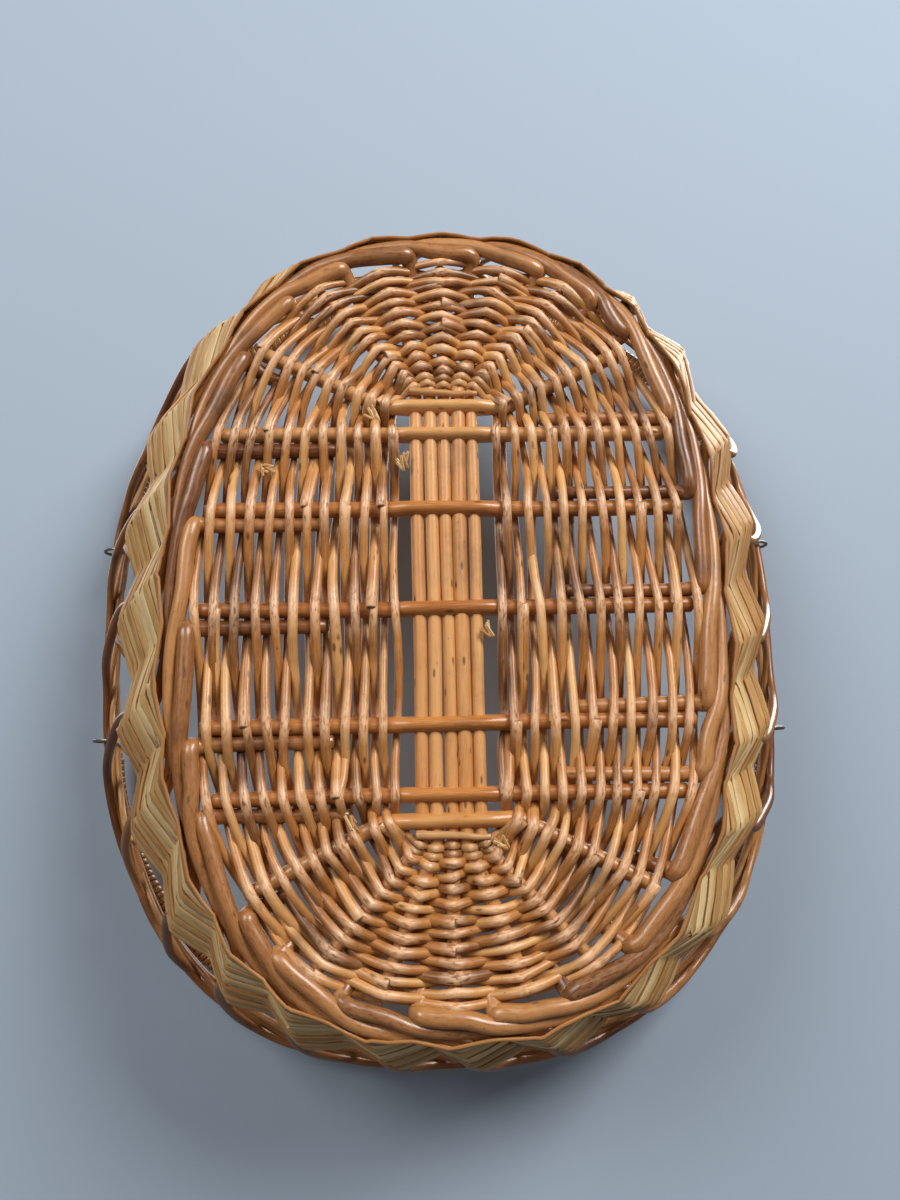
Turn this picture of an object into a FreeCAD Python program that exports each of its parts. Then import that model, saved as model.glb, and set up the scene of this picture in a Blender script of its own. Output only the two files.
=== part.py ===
import FreeCAD, Part
import math
import os

import Sketcher
from FreeCAD import Placement, Rotation, Vector

# Oval willow picnic basket with two folding handles.
#
# Frame: millimetres, +Z up, origin on the floor at the middle of the foot.
# X runs across the basket, Y along it.  The front end is at -Y, the rear end at +Y.
#
# How the basket is made, from the middle outwards:
#   slath          five long sticks threaded through seven split cross sticks
#   base weave     fine rods woven round the slath, an oval plate with an open middle slot
#   foot border    26 stout rods.  Each leaves the base beside a stick end, turns along the
#                  edge, lies outside the rod that follows it, then turns up the wall
#   wall           side stakes (going on from the foot border rods) and bye-stakes between
#                  them, inside a zigzag band of straw, crossing each other above it
#   rim            one round hoop that the stakes end under
#   handles        two bails of bent rod wrapped in cane, each held by two wire rings

SIZES = (
    # foot and rim outline
    ("foot_half_width", 148.0),
    ("foot_half_length", 215.0),
    ("foot_roundness", 2.46),
    ("side_flare", 71.0),
    ("end_flare", 46.0),
    ("rim_top_height", 130.0),
    ("wall_bowl_power", 1.75),
    # slath and base
    ("long_stick_diameter", 7.0),
    ("long_stick_gap", 0.6),
    ("cross_stick_diameter", 8.5),
    ("slit_clearance", 0.15),
    ("split_wood_thickness", 3.4),
    ("split_taper_length", 12.0),
    ("base_clear_of_floor", 2.0),
    ("base_thickness", 15.0),
    ("slot_half_width", 25.0),
    ("slot_half_length", 117.0),
    ("channel_clearance", 0.25),
    ("fan_start", 122.0),
    ("fan_step_angle", 21.0),
    ("cross_stick_end_lift", 26.0),
    ("stick_end_clearance", 3.0),
    ("knuckle_room", 3.0),
    # foot border
    ("border_rod_diameter", 7.6),
    ("border_rod_gap", 0.5),
    ("worn_flat_depth", 0.2),
    ("side_insert_length", 70.0),
    ("fan_insert_length", 28.0),
    # wall
    ("side_stake_diameter", 5.2),
    ("bye_stake_diameter", 4.4),
    ("band_bottom_height", 12.2),
    ("band_top_height", 52.0),
    ("band_thickness", 1.4),
    ("band_zigzag_depth", 10.0),
    ("band_clearance", 0.9),
    ("lattice_lean", 0.56),
    # rim
    ("rim_hoop_diameter", 10.4),
    ("rim_seat_clearance", 2.4),
    # handles
    ("handle_pivot_spread", 62.0),
    ("handle_reach", 186.0),
    ("handle_core_diameter", 9.0),
    ("cane_wrap_diameter", 11.6),
    ("cane_fit_clearance", 0.1),
    ("bar_setback_angle", 2.4),
    ("cane_setback_angle", 3.2),
    ("handle_rest_clearance", 0.5),
    ("handle_eye_thickness", 4.0),
    ("handle_eye_tongue_length", 15.0),
    ("handle_eye_hole_diameter", 3.0),
    ("ring_wire_diameter", 2.0),
    ("ring_middle_radius", 9.7),
    ("ring_outward_shift", 1.5),
)

CROSS_STICK_PLACES = (-112.0, -96.0, -53.0, 2.0, 63.0, 99.0, 112.0)
LONG_STICK_COUNT = 5

doc = FreeCAD.newDocument("willow_basket")
sheet = doc.addObject("Spreadsheet::Sheet", "sizes")
for row, (alias, value) in enumerate(SIZES, start=1):
    sheet.set("A%d" % row, alias)
    sheet.set("B%d" % row, str(value))
    sheet.setAlias("B%d" % row, alias)
doc.recompute()


def size(alias):
    """Value of one named size of the sheet."""
    return float(getattr(sheet, alias))


# ---------------------------------------------------------------- the oval and the wall

def foot_point(angle):
    """Point of the foot outline at a polar angle, a superellipse."""
    c, s = math.cos(angle), math.sin(angle)
    n = size("foot_roundness")
    reach = (abs(c / size("foot_half_width")) ** n + abs(s / size("foot_half_length")) ** n)
    return Vector(c, s, 0) * reach ** (-1.0 / n)


def foot_normal(angle):
    """Outward normal of the foot outline, from the superellipse's gradient."""
    p = foot_point(angle)
    n = size("foot_roundness") - 1.0
    nx = math.copysign(abs(p.x / size("foot_half_width")) ** n / size("foot_half_width"), p.x)
    ny = math.copysign(abs(p.y / size("foot_half_length")) ** n / size("foot_half_length"), p.y)
    return Vector(nx, ny, 0).normalize()


def foot_offset(angle, outward, height):
    """Point beside the foot outline, a distance outward along its normal."""
    return foot_point(angle) + foot_normal(angle) * outward + Vector(0, 0, height)


def wall_outward(angle, height):
    """How far the wall's outer face stands outside the foot outline: a bowl's profile."""
    rise = min(height / size("rim_top_height"), 1.0)
    return flare_at(angle) * (1.0 - (1.0 - rise) ** size("wall_bowl_power"))


def flare_at(angle):
    """How far the rim stands outside the foot, between its side and its end values."""
    normal = foot_normal(angle)
    return size("side_flare") * normal.x ** 2 + size("end_flare") * normal.y ** 2


def wall_point(angle, height, inset):
    """Point at a height, inside the wall's outer face by a distance square to that face."""
    power = size("wall_bowl_power")
    rise = min(height / size("rim_top_height"), 1.0)
    slope = flare_at(angle) * power / size("rim_top_height") * (1.0 - rise) ** (power - 1.0)
    across = inset * math.sqrt(1.0 + slope ** 2)
    return foot_offset(angle, wall_outward(angle, height) - across, height)


# ---------------------------------------------------------------- rods

def rounded_path(points, bend_radius, closed=False):
    """Straight runs through the points, joined by tangent arcs, as a wire."""
    count = len(points)
    corners = range(count) if closed else range(1, count - 1)
    cuts = {}
    for i in corners:
        before, here, after = points[i - 1], points[i], points[(i + 1) % count]
        a, b = before - here, after - here
        half_turn = (math.pi - a.getAngle(b)) / 2.0
        if half_turn < 1e-4:
            continue
        trim = min(bend_radius * math.tan(half_turn), 0.45 * min(a.Length, b.Length))
        radius = trim / math.tan(half_turn)
        a.normalize()
        b.normalize()
        bisector = (a + b).normalize()
        middle = here + bisector * (radius / math.cos(half_turn) - radius)
        cuts[i] = (here + a * trim, middle, here + b * trim)
    edges = []
    last = count if closed else count - 1
    for i in range(last):
        j = (i + 1) % count
        start = cuts[i][2] if i in cuts else points[i]
        end = cuts[j][0] if j in cuts else points[j]
        edges.append(Part.LineSegment(start, end).toShape())
        if j in cuts:
            edges.append(Part.Arc(*cuts[j]).toShape())
    return Part.Wire(edges)


def rod_along(points, diameter, bend_radius, closed=False):
    """Round rod swept along a rounded path."""
    path = rounded_path(points, bend_radius, closed)
    first = path.Edges[0]
    start = first.valueAt(first.FirstParameter)
    tangent = first.tangentAt(first.FirstParameter)
    circle = Part.Wire(Part.makeCircle(diameter / 2.0, start, tangent))
    shell = path.makePipeShell([circle], True, False)
    solid = Part.Solid(shell) if shell.ShapeType == "Shell" else shell
    expected = path.Length * math.pi * diameter ** 2 / 4.0
    if abs(abs(solid.Volume) / expected - 1.0) > 0.03:
        raise ValueError("a rod's volume is not its section times its length")
    return solid


def feature(name, shape):
    """Sub-part whose shape is worked out here from the sheet."""
    part = doc.addObject("Part::Feature", name)
    part.Label = name
    part.Shape = shape
    part.Placement = Placement()
    sub_parts.append(part)
    return part


sub_parts = []

# ---------------------------------------------------------------- slath

stick_height = size("base_clear_of_floor") + size("base_thickness") / 2.0
BORDER_TRACKS = 1.7  # how many rods lie side by side in the border
base_edge_inset = (BORDER_TRACKS * (size("border_rod_diameter") + size("border_rod_gap"))
                   + size("border_rod_diameter") / 2.0 + size("knuckle_room"))
stick_reach_inset = base_edge_inset + size("stick_end_clearance")


def edge_meeting(origin, direction, inset):
    """Angle at which a straight line from inside meets the outline drawn in by an inset."""

    def miss(angle):
        return (foot_offset(angle, -inset, 0) - origin).cross(direction).z

    middle = math.atan2(direction.y, direction.x)
    low, high = middle - math.pi / 2.0, middle + math.pi / 2.0
    for _ in range(45):
        centre = (low + high) / 2.0
        if (miss(centre) > 0) == (miss(low) > 0):
            low = centre
        else:
            high = centre
    return low % (2.0 * math.pi)


def origin_plane(body, role):
    """One of a body's own origin planes."""
    return next(item for item in body.Origin.OriginFeatures if item.Role == role)


def sketch_on(body, name, role):
    """Empty sketch on a body's origin plane."""
    sketch = body.newObject("Sketcher::SketchObject", name)
    sketch.AttachmentSupport = [(origin_plane(body, role), "")]
    sketch.MapMode = "FlatFace"
    return sketch


def circle_sketch(body, name, role, diameter_alias):
    """Circle about the body's origin, its diameter bound to the sheet."""
    sketch = sketch_on(body, name, role)
    sketch.addGeometry(Part.Circle(Vector(0, 0, 0), Vector(0, 0, 1), size(diameter_alias) / 2.0))
    sketch.addConstraint(Sketcher.Constraint("Coincident", 0, 3, -1, 1))
    sketch.addConstraint(Sketcher.Constraint("Diameter", 0, size(diameter_alias)))
    sketch.renameConstraint(1, "diameter")
    sketch.setExpression("Constraints.diameter", "sizes." + diameter_alias)
    return sketch


def bent_spine(body, name, knee, tip):
    """Two straight runs in the base's plane: out from the body's origin to a knee, then to a tip."""
    sketch = sketch_on(body, name, "XY_Plane")
    zero = Vector(0, 0, 0)
    sketch.addGeometry(Part.LineSegment(zero, knee))
    sketch.addGeometry(Part.LineSegment(knee, tip))
    sketch.addConstraint(Sketcher.Constraint("Coincident", 0, 1, -1, 1))
    sketch.addConstraint(Sketcher.Constraint("Coincident", 0, 2, 1, 1))
    for geometry, point in ((0, knee), (1, tip)):
        for kind, value in (("DistanceX", point.x), ("DistanceY", point.y)):
            ends = (-1, 1, geometry, 2) if value >= 0 else (geometry, 2, -1, 1)
            sketch.addConstraint(Sketcher.Constraint(kind, *ends, abs(value)))
    return sketch


def add_stick_ends(body, profile, knees_and_tips):
    """Sweep the stick's round section out along each of its two ends."""
    for number, (knee, tip) in enumerate(knees_and_tips, start=1):
        spine = bent_spine(body, "%s_spine_%d" % (body.Label, number), knee, tip)
        pipe = body.newObject("PartDesign::AdditivePipe", "%s_end_%d" % (body.Label, number))
        pipe.Profile = profile
        pipe.Spine = (spine, ["Edge1", "Edge2"])
        pipe.Transition = "Round corner"
        spine.Visibility = False


def new_body(name, place):
    """Body with its label and its place in the basket."""
    body = doc.addObject("PartDesign::Body", name)
    body.Label = name
    body.Placement = Placement(place, Rotation())
    sub_parts.append(body)
    return body


def unit(degrees):
    """Unit vector in the base's plane at an angle from +X."""
    return Vector(math.cos(math.radians(degrees)), math.sin(math.radians(degrees)), 0)


spokes = []  # every stick end: its knee and the way it points


def reach_of(origin, direction):
    """Tip of a stick that starts at origin and stops short of the base's edge."""
    angle = edge_meeting(origin, direction, stick_reach_inset)
    edge = foot_offset(angle, -stick_reach_inset, 0)
    return origin + direction * (edge - origin).dot(direction)


long_stick_pitch = size("long_stick_diameter") + size("long_stick_gap")

for index in range(LONG_STICK_COUNT):
    step = index - (LONG_STICK_COUNT - 1) // 2
    place = Vector(step * long_stick_pitch, 0, 0)
    body = new_body("base_long_stick_%d" % (index + 1), place + Vector(0, 0, stick_height))
    profile = circle_sketch(body, body.Label + "_section", "XZ_Plane", "long_stick_diameter")
    ends = []
    for side in (1, -1):
        knee = Vector(0, side * size("fan_start"), 0)
        direction = unit(side * (90.0 - step * size("fan_step_angle")))
        tip = reach_of(place + knee, direction) - place
        ends.append((knee, tip))
        spokes.append((place + knee, direction))
    add_stick_ends(body, profile, ends)

slit_half_width = ((LONG_STICK_COUNT - 1) / 2.0 * long_stick_pitch
                   + size("long_stick_diameter") / 2.0 + size("slit_clearance"))
slit_height = size("long_stick_diameter") + 2.0 * size("slit_clearance")
split_half_height = slit_height / 2.0 + size("split_wood_thickness")
split_half_length = slit_half_width + size("split_taper_length")


def closed_outline(sketch, corners):
    """Closed polygon whose corners are held where they are."""
    count = len(corners)
    for i in range(count):
        sketch.addGeometry(Part.LineSegment(corners[i], corners[(i + 1) % count]))
    for i in range(count):
        sketch.addConstraint(Sketcher.Constraint("Coincident", i, 2, (i + 1) % count, 1))


def add_split_middle(body):
    """Swollen middle where the stick is split, then the slit that the long sticks pass."""
    swell = sketch_on(body, body.Label + "_swell", "XZ_Plane")
    stick_radius = size("cross_stick_diameter") / 2.0
    near, far = slit_half_width, split_half_length
    closed_outline(swell, [Vector(-far, 0, 0), Vector(-far, stick_radius * 0.8, 0),
                           Vector(-near, split_half_height, 0), Vector(near, split_half_height, 0),
                           Vector(far, stick_radius * 0.8, 0), Vector(far, -stick_radius * 0.8, 0),
                           Vector(near, -split_half_height, 0), Vector(-near, -split_half_height, 0),
                           Vector(-far, -stick_radius * 0.8, 0)])
    pad = body.newObject("PartDesign::Pad", body.Label + "_swollen_middle")
    pad.Profile = swell
    pad.SideType = "Symmetric"
    pad.setExpression("Length", "sizes.cross_stick_diameter * 0.94")
    slit = sketch_on(body, body.Label + "_slit_outline", "XZ_Plane")
    half_width, half_height = slit_half_width, slit_height / 2.0
    closed_outline(slit, [Vector(-half_width, -half_height, 0), Vector(half_width, -half_height, 0),
                          Vector(half_width, half_height, 0), Vector(-half_width, half_height, 0)])
    doc.recompute()
    volume_before = body.Shape.Volume
    pocket = body.newObject("PartDesign::Pocket", body.Label + "_slit")
    pocket.Profile = slit
    pocket.SideType = "Symmetric"
    pocket.setExpression("Length", "sizes.cross_stick_diameter * 2")
    doc.recompute()
    if body.Shape.Volume > volume_before - slit_half_width * slit_height * 4.0:
        raise ValueError(body.Label + ": the slit cut too little")


cross_count = len(CROSS_STICK_PLACES)
for index, along in enumerate(CROSS_STICK_PLACES):
    place = Vector(0, along, 0)
    body = new_body("base_cross_stick_%d" % (index + 1), place + Vector(0, 0, stick_height))
    profile = circle_sketch(body, body.Label + "_section", "YZ_Plane", "cross_stick_diameter")
    outermost = index in (0, cross_count - 1)
    ends = []
    for side in (1, -1):
        knee = Vector(side * (split_half_length + 3.0), 0, 0)
        lift = math.copysign(size("cross_stick_end_lift"), along) if outermost else 0.0
        direction = Vector(side * math.cos(math.radians(lift)), math.sin(math.radians(lift)), 0)
        tip = reach_of(place + knee, direction) - place
        ends.append((knee, tip))
        spokes.append((place + knee, direction))
    add_stick_ends(body, profile, ends)
    add_split_middle(body)

# ---------------------------------------------------------------- foot border

track_pitch = size("border_rod_diameter") + size("border_rod_gap")
inner_track_inset = BORDER_TRACKS * track_pitch
floor_height = size("border_rod_diameter") / 2.0 - size("worn_flat_depth")
beside_stick = ((size("cross_stick_diameter") + size("border_rod_diameter")) / 2.0
                + 2.0 * size("channel_clearance"))


def downstream(direction):
    """The way the border runs past an outward direction: clockwise seen from above."""
    return Vector(direction.y, -direction.x, 0)


INSERT_START_ROOM = 14.0  # least distance from the start of a line to an inserted end
inserts = []  # each border rod's inserted end: its knuckle's angle and its inner end


def add_insert(line_start, direction, length):
    """Border rod pushed into the base along a line, as far as its knuckle."""
    angle = edge_meeting(line_start, direction, inner_track_inset)
    knuckle = foot_offset(angle, -inner_track_inset, stick_height)
    from_start = knuckle - line_start
    length = min(length, math.hypot(from_start.x, from_start.y) - INSERT_START_ROOM)
    inserts.append((angle, knuckle - direction * length))


for origin, direction in spokes[2 * LONG_STICK_COUNT:]:
    in_fan = abs(direction.y) > 0.01
    length = size("fan_insert_length") if in_fan else size("side_insert_length")
    add_insert(origin + downstream(direction) * beside_stick, direction, length)
for side in (1, -1):
    # in each end's fan the border rods go in half way between the sticks
    for gap in range(LONG_STICK_COUNT + 1):
        step = gap - LONG_STICK_COUNT / 2.0
        line_start = Vector(step * long_stick_pitch, side * size("fan_start"), 0)
        add_insert(line_start, unit(side * (90.0 - step * size("fan_step_angle"))),
                   size("fan_insert_length"))
inserts.sort(key=lambda item: -item[0])
rod_count = len(inserts)


def border_angle(number, progress):
    """Angle reached after a number of pitches from a rod's own knuckle."""
    whole = int(math.floor(progress))
    part = progress - whole

    def knuckle_angle(i):
        return inserts[i % rod_count][0] - 2.0 * math.pi * (i // rod_count)

    first, second = knuckle_angle(number + whole), knuckle_angle(number + whole + 1)
    return first + (second - first) * part


def border_point(number, progress, height, outward=0.0):
    """Point of a border rod: it drifts out by one rod for each pitch that it runs."""
    inset = inner_track_inset - track_pitch * progress - outward
    return foot_offset(border_angle(number, progress), -inset, height)


TURN_UP = 1.65  # pitches from a rod's knuckle to where it stands up in the wall
TURN_UP_HEIGHT = 12.5
behind_band = size("band_thickness") + size("band_clearance")
stake_inset = behind_band + size("side_stake_diameter") / 2.0
bye_inset = size("band_zigzag_depth") + behind_band + size("bye_stake_diameter") / 2.0
stake_angles = [border_angle(number, TURN_UP) for number in range(rod_count)]


def foot_rod_points(number):
    """Places that a border rod passes, from its inserted end to where it stands up."""
    points = [inserts[number][1]]
    points.append(border_point(number, 0.0, stick_height))
    points.append(border_point(number, 0.30, floor_height + 1.0))
    for progress in (0.65, 1.0, 1.25):
        points.append(border_point(number, progress, floor_height))
    points.append(border_point(number, 1.43, floor_height + 1.6, 1.0))
    points.append(wall_point(stake_angles[number], TURN_UP_HEIGHT,
                             behind_band + size("border_rod_diameter") / 2.0))
    return points


KNUCKLE_RADIUS = 30.0


def foot_rod(number):
    """One border rod, worn flat where it stands on the floor."""
    rod = rod_along(foot_rod_points(number), size("border_rod_diameter"), KNUCKLE_RADIUS)
    under_floor = Part.makeBox(900, 900, 20, Vector(-450, -450, -20))
    return rod.cut(under_floor).Solids[0]


for number in range(rod_count):
    feature("foot_border_rod_%02d" % (number + 1), foot_rod(number))

# ---------------------------------------------------------------- base weave


def oval_prism(inset, bottom, top, corner_count=72):
    """Upright solid inside the foot outline, its sides a smooth closed curve."""
    points = [foot_offset(2.0 * math.pi * i / corner_count, -inset, bottom)
              for i in range(corner_count)]
    curve = Part.BSplineCurve()
    curve.interpolate(Points=points, PeriodicFlag=True)
    face = Part.Face(Part.Wire(curve.toShape()))
    return face.extrude(Vector(0, 0, top - bottom))


def channel(start, end, width, past_start, past_end):
    """Square channel at the sticks' height, from one place in the base's plane to another."""
    run = Vector(end.x - start.x, end.y - start.y, 0)
    box = Part.makeBox(run.Length + past_start + past_end, width, width,
                       Vector(-past_start, -width / 2.0, stick_height - width / 2.0))
    turn = Rotation(Vector(0, 0, 1), math.degrees(math.atan2(run.y, run.x)))
    box.Placement = Placement(Vector(start.x, start.y, 0), turn).multiply(box.Placement)
    return box


def stick_channels(place, knees, diameter):
    """Channels along a stick's straight runs, each as wide as the stick and its clearance."""
    channels = []
    for knee, direction in knees:
        tip = reach_of(knee, direction)
        channels.append(channel(place, knee, diameter, 0.0, diameter / 2.0))
        channels.append(channel(knee, tip, diameter, diameter / 2.0, 1.0))
    return channels


def base_weave():
    """Oval woven plate with its middle slot and a channel for every stick and insert."""
    bottom = size("base_clear_of_floor")
    plate = oval_prism(base_edge_inset, bottom, bottom + size("base_thickness"))
    half_width, half_length = size("slot_half_width"), size("slot_half_length")
    room = 2.0 * size("channel_clearance")
    cuts = [Part.makeBox(2 * half_width, 2 * half_length, 4 * size("base_thickness"),
                         Vector(-half_width, -half_length, -size("base_thickness")))]
    for index in range(LONG_STICK_COUNT):
        place = Vector((index - LONG_STICK_COUNT // 2) * long_stick_pitch, 0, 0)
        cuts += stick_channels(place, spokes[2 * index:2 * index + 2],
                               size("long_stick_diameter") + room)
    for index, along in enumerate(CROSS_STICK_PLACES):
        first = 2 * (LONG_STICK_COUNT + index)
        cuts += stick_channels(Vector(0, along, 0), spokes[first:first + 2],
                               size("cross_stick_diameter") + room)
        half_gap = size("cross_stick_diameter") / 2.0 + size("channel_clearance")
        swell_length, swell_height = split_half_length + 1.0, split_half_height + 0.5
        cuts.append(Part.makeBox(2 * swell_length, 2 * half_gap, 2 * swell_height,
                                 Vector(-swell_length, along - half_gap,
                                        stick_height - swell_height)))
    for number in range(rod_count):
        inner_end, knuckle = foot_rod_points(number)[:2]
        cuts.append(channel(inner_end, knuckle, size("border_rod_diameter") + room, 1.0, 0.0))
    for cut in cuts:
        plate = plate.cut(cut)
    return max(plate.Solids, key=lambda item: item.Volume)


feature("base_weave", base_weave())

# ---------------------------------------------------------------- wall


def band_ring(height, inset_at_ridge):
    """Zigzag ring at a height: a ridge over each side stake, a valley over each bye-stake."""
    points = []
    for number in range(rod_count):
        here = stake_angles[number]
        after = stake_angles[(number + 1) % rod_count]
        if number == rod_count - 1:
            after -= 2.0 * math.pi
        points.append(wall_point(here, height, inset_at_ridge))
        points.append(wall_point((here + after) / 2.0, height,
                                 inset_at_ridge + size("band_zigzag_depth")))
    return Part.makePolygon(points + [points[0]])


def straw_band():
    """Zigzag band that follows the bowl of the wall, in two lifts."""
    bottom, top = size("band_bottom_height"), size("band_top_height")
    heights = (bottom, (bottom + top) / 2.0, top)
    outside = Part.makeLoft([band_ring(z, 0.0) for z in heights], True, True)
    taller = [band_ring(z, size("band_thickness")) for z in heights]
    taller[0].translate(Vector(0, 0, -0.01))
    taller[-1].translate(Vector(0, 0, 0.01))
    inside = Part.makeLoft(taller, True, True)
    return outside.cut(inside).Solids[0]


feature("straw_band", straw_band())

hoop_radius = size("rim_hoop_diameter") / 2.0
hoop_height = size("rim_top_height") - hoop_radius
stake_top = hoop_height - hoop_radius - size("rim_seat_clearance")
pivot_height = (size("rim_top_height") + size("cane_wrap_diameter") / 2.0
                + size("handle_rest_clearance"))
ring_height = pivot_height - size("ring_middle_radius")
ring_bottom = ring_height - size("ring_middle_radius") - size("ring_wire_diameter") / 2.0
lattice_start = size("band_top_height") + 4.0
lattice_middle = (lattice_start + stake_top) / 2.0


def gap_after(number):
    """Angle from one side stake to the next, running the way the border runs."""
    after = stake_angles[(number + 1) % rod_count]
    if number == rod_count - 1:
        after -= 2.0 * math.pi
    return after - stake_angles[number]


def top_of_stake(angle, diameter):
    """Height where an upright ends: under the hoop, or under a wire ring if it meets one."""
    spot = wall_point(angle, stake_top, hoop_radius)
    beside_ring = abs(abs(spot.y) - size("handle_pivot_spread"))
    if abs(spot.x) > abs(spot.y) and beside_ring < size("ring_wire_diameter") / 2.0 + diameter:
        return ring_bottom - diameter / 2.0
    return stake_top


def side_stake(number):
    """Upright that goes on from a border rod, then leans on past the next bye-stake."""
    angle, lean = stake_angles[number], gap_after(number) * size("lattice_lean")
    points = [wall_point(angle, TURN_UP_HEIGHT + 4.0, stake_inset),
              wall_point(angle, 33.0, stake_inset),
              wall_point(angle, lattice_start, stake_inset),
              wall_point(angle + lean / 2.0, lattice_middle, stake_inset),
              wall_point(angle + lean, top_of_stake(angle + lean, size("side_stake_diameter")),
                         hoop_radius)]
    return rod_along(points, size("side_stake_diameter"), 60.0)


def bye_stake(number):
    """Upright between two side stakes, behind the band's valley, leaning the other way."""
    gap = gap_after(number)
    angle, lean = stake_angles[number] + gap / 2.0, -gap * size("lattice_lean")
    points = [wall_point(angle, 15.0, bye_inset),
              wall_point(angle, 33.0, bye_inset),
              wall_point(angle, lattice_start, bye_inset),
              wall_point(angle + lean / 2.0, lattice_middle, bye_inset - 3.0),
              wall_point(angle + lean, top_of_stake(angle + lean, size("bye_stake_diameter")),
                         hoop_radius)]
    return rod_along(points, size("bye_stake_diameter"), 60.0)


def quarter(number):
    """Name of the quarter of the wall that an upright stands in."""
    spot = foot_point(stake_angles[number])
    if abs(spot.y) > abs(spot.x) * 1.1:
        return "rear" if spot.y > 0 else "front"
    return "right" if spot.x > 0 else "left"


for name, maker in (("side_stakes", side_stake), ("bye_stakes", bye_stake)):
    for place_name in ("front", "right", "rear", "left"):
        group = [maker(i) for i in range(rod_count) if quarter(i) == place_name]
        feature("%s_%s" % (name, place_name), Part.makeCompound(group))

# ---------------------------------------------------------------- rim

HOOP_POINTS = 40
hoop_path = [wall_point(2.0 * math.pi * i / HOOP_POINTS, hoop_height, hoop_radius)
             for i in range(HOOP_POINTS)]
feature("rim_hoop", rod_along(hoop_path, size("rim_hoop_diameter"), 400.0, closed=True))

# ---------------------------------------------------------------- wire rings


def hoop_at(along):
    """Place of the rim hoop's middle line, on the right side, at a distance along Y."""
    low, high = -math.pi / 2.0, math.pi / 2.0
    for _ in range(40):
        middle = (low + high) / 2.0
        if wall_point(middle, hoop_height, hoop_radius).y < along:
            low = middle
        else:
            high = middle
    return wall_point(low, hoop_height, hoop_radius)


pivot_across = hoop_at(size("handle_pivot_spread")).x + size("ring_outward_shift")

for end_name, end in (("front", -1), ("rear", 1)):
    for side_name, side in (("right", 1), ("left", -1)):
        name = "%s_%s_ring" % (end_name, side_name)
        ring = doc.addObject("Part::Torus", name)
        ring.Label = name
        ring.setExpression("Radius1", "sizes.ring_middle_radius")
        ring.setExpression("Radius2", "sizes.ring_wire_diameter / 2")
        spot = Vector(side * pivot_across, end * size("handle_pivot_spread"), ring_height)
        ring.Placement = Placement(spot, Rotation(Vector(1, 0, 0), 90))
        sub_parts.append(ring)

# ---------------------------------------------------------------- handles


def bail_sweep(name, diameter_expression, setback):
    """Round bar along half an ellipse in the plane Z = 0, opening towards -Y."""
    spine = doc.addObject("Part::Ellipse", name + "_line")
    spine.MajorRadius = pivot_across
    spine.setExpression("MinorRadius", "sizes.handle_reach")
    spine.Angle1 = setback
    spine.Angle2 = 180.0 - setback
    section = doc.addObject("Part::Circle", name + "_section")
    section.setExpression("Radius", diameter_expression)
    turn = math.radians(setback)
    start = Vector(pivot_across * math.cos(turn), size("handle_reach") * math.sin(turn), 0)
    along = Vector(-pivot_across * math.sin(turn), size("handle_reach") * math.cos(turn), 0)
    section.Placement = Placement(start, Rotation(Vector(0, 0, 1), along))
    sweep = doc.addObject("Part::Sweep", name + "_sweep")
    sweep.Sections = [section]
    sweep.Spine = (spine, ["Edge1"])
    sweep.Solid = True
    sweep.Frenet = False
    return sweep


def eye_disc(name, side, diameter_expression, thickness):
    """Disc or hole about the swing axis at one end of the handle."""
    disc = doc.addObject("Part::Cylinder", name)
    disc.setExpression("Radius", diameter_expression)
    disc.Height = thickness
    middle = Vector(side * pivot_across - thickness / 2.0, 0, 0)
    disc.Placement = Placement(middle, Rotation(Vector(0, 1, 0), 90))
    return disc


def eye_tongue(name, side):
    """Flat whittled tongue that joins the round rod to its eye."""
    block = doc.addObject("Part::Box", name)
    block.setExpression("Length", "sizes.handle_eye_thickness")
    block.setExpression("Width", "sizes.handle_eye_tongue_length")
    block.setExpression("Height", "sizes.handle_core_diameter * 0.8")
    block.Placement = Placement(Vector(side * pivot_across - size("handle_eye_thickness") / 2.0, 0,
                                       -0.4 * size("handle_core_diameter")), Rotation())
    return block


for end_name, end in (("front", -1), ("rear", 1)):
    name = end_name + "_handle"
    pieces = [bail_sweep(name + "_bar", "sizes.handle_core_diameter / 2",
                         size("bar_setback_angle"))]
    holes = []
    for side_name, side in (("right", 1), ("left", -1)):
        pieces.append(eye_disc("%s_%s_eye" % (name, side_name), side,
                               "sizes.handle_core_diameter * 0.48", size("handle_eye_thickness")))
        pieces.append(eye_tongue("%s_%s_tongue" % (name, side_name), side))
        holes.append(eye_disc("%s_%s_hole" % (name, side_name), side,
                              "sizes.handle_eye_hole_diameter / 2",
                              size("handle_core_diameter") * 2.0))
    whole = doc.addObject("Part::MultiFuse", name + "_whole")
    whole.Shapes = pieces
    drill = doc.addObject("Part::MultiFuse", name + "_holes")
    drill.Shapes = holes
    core = doc.addObject("Part::Cut", name + "_core")
    core.Base = whole
    core.Tool = drill
    core.Label = name + "_core"
    wrap_outside = bail_sweep(name + "_wrap_outside", "sizes.cane_wrap_diameter / 2",
                              size("cane_setback_angle"))
    wrap_inside = bail_sweep(name + "_wrap_inside",
                             "sizes.handle_core_diameter / 2 + sizes.cane_fit_clearance",
                             size("cane_setback_angle"))
    wrap = doc.addObject("Part::Cut", name + "_cane_wrap")
    wrap.Base = wrap_outside
    wrap.Tool = wrap_inside
    wrap.Label = name + "_cane_wrap"
    spot = Vector(0, end * size("handle_pivot_spread"), pivot_height)
    turn = Rotation(Vector(0, 0, 1), 0 if end > 0 else 180)
    for part in (core, wrap):
        part.Placement = Placement(spot, turn)
        sub_parts.append(part)

# ---------------------------------------------------------------- check and write

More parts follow.
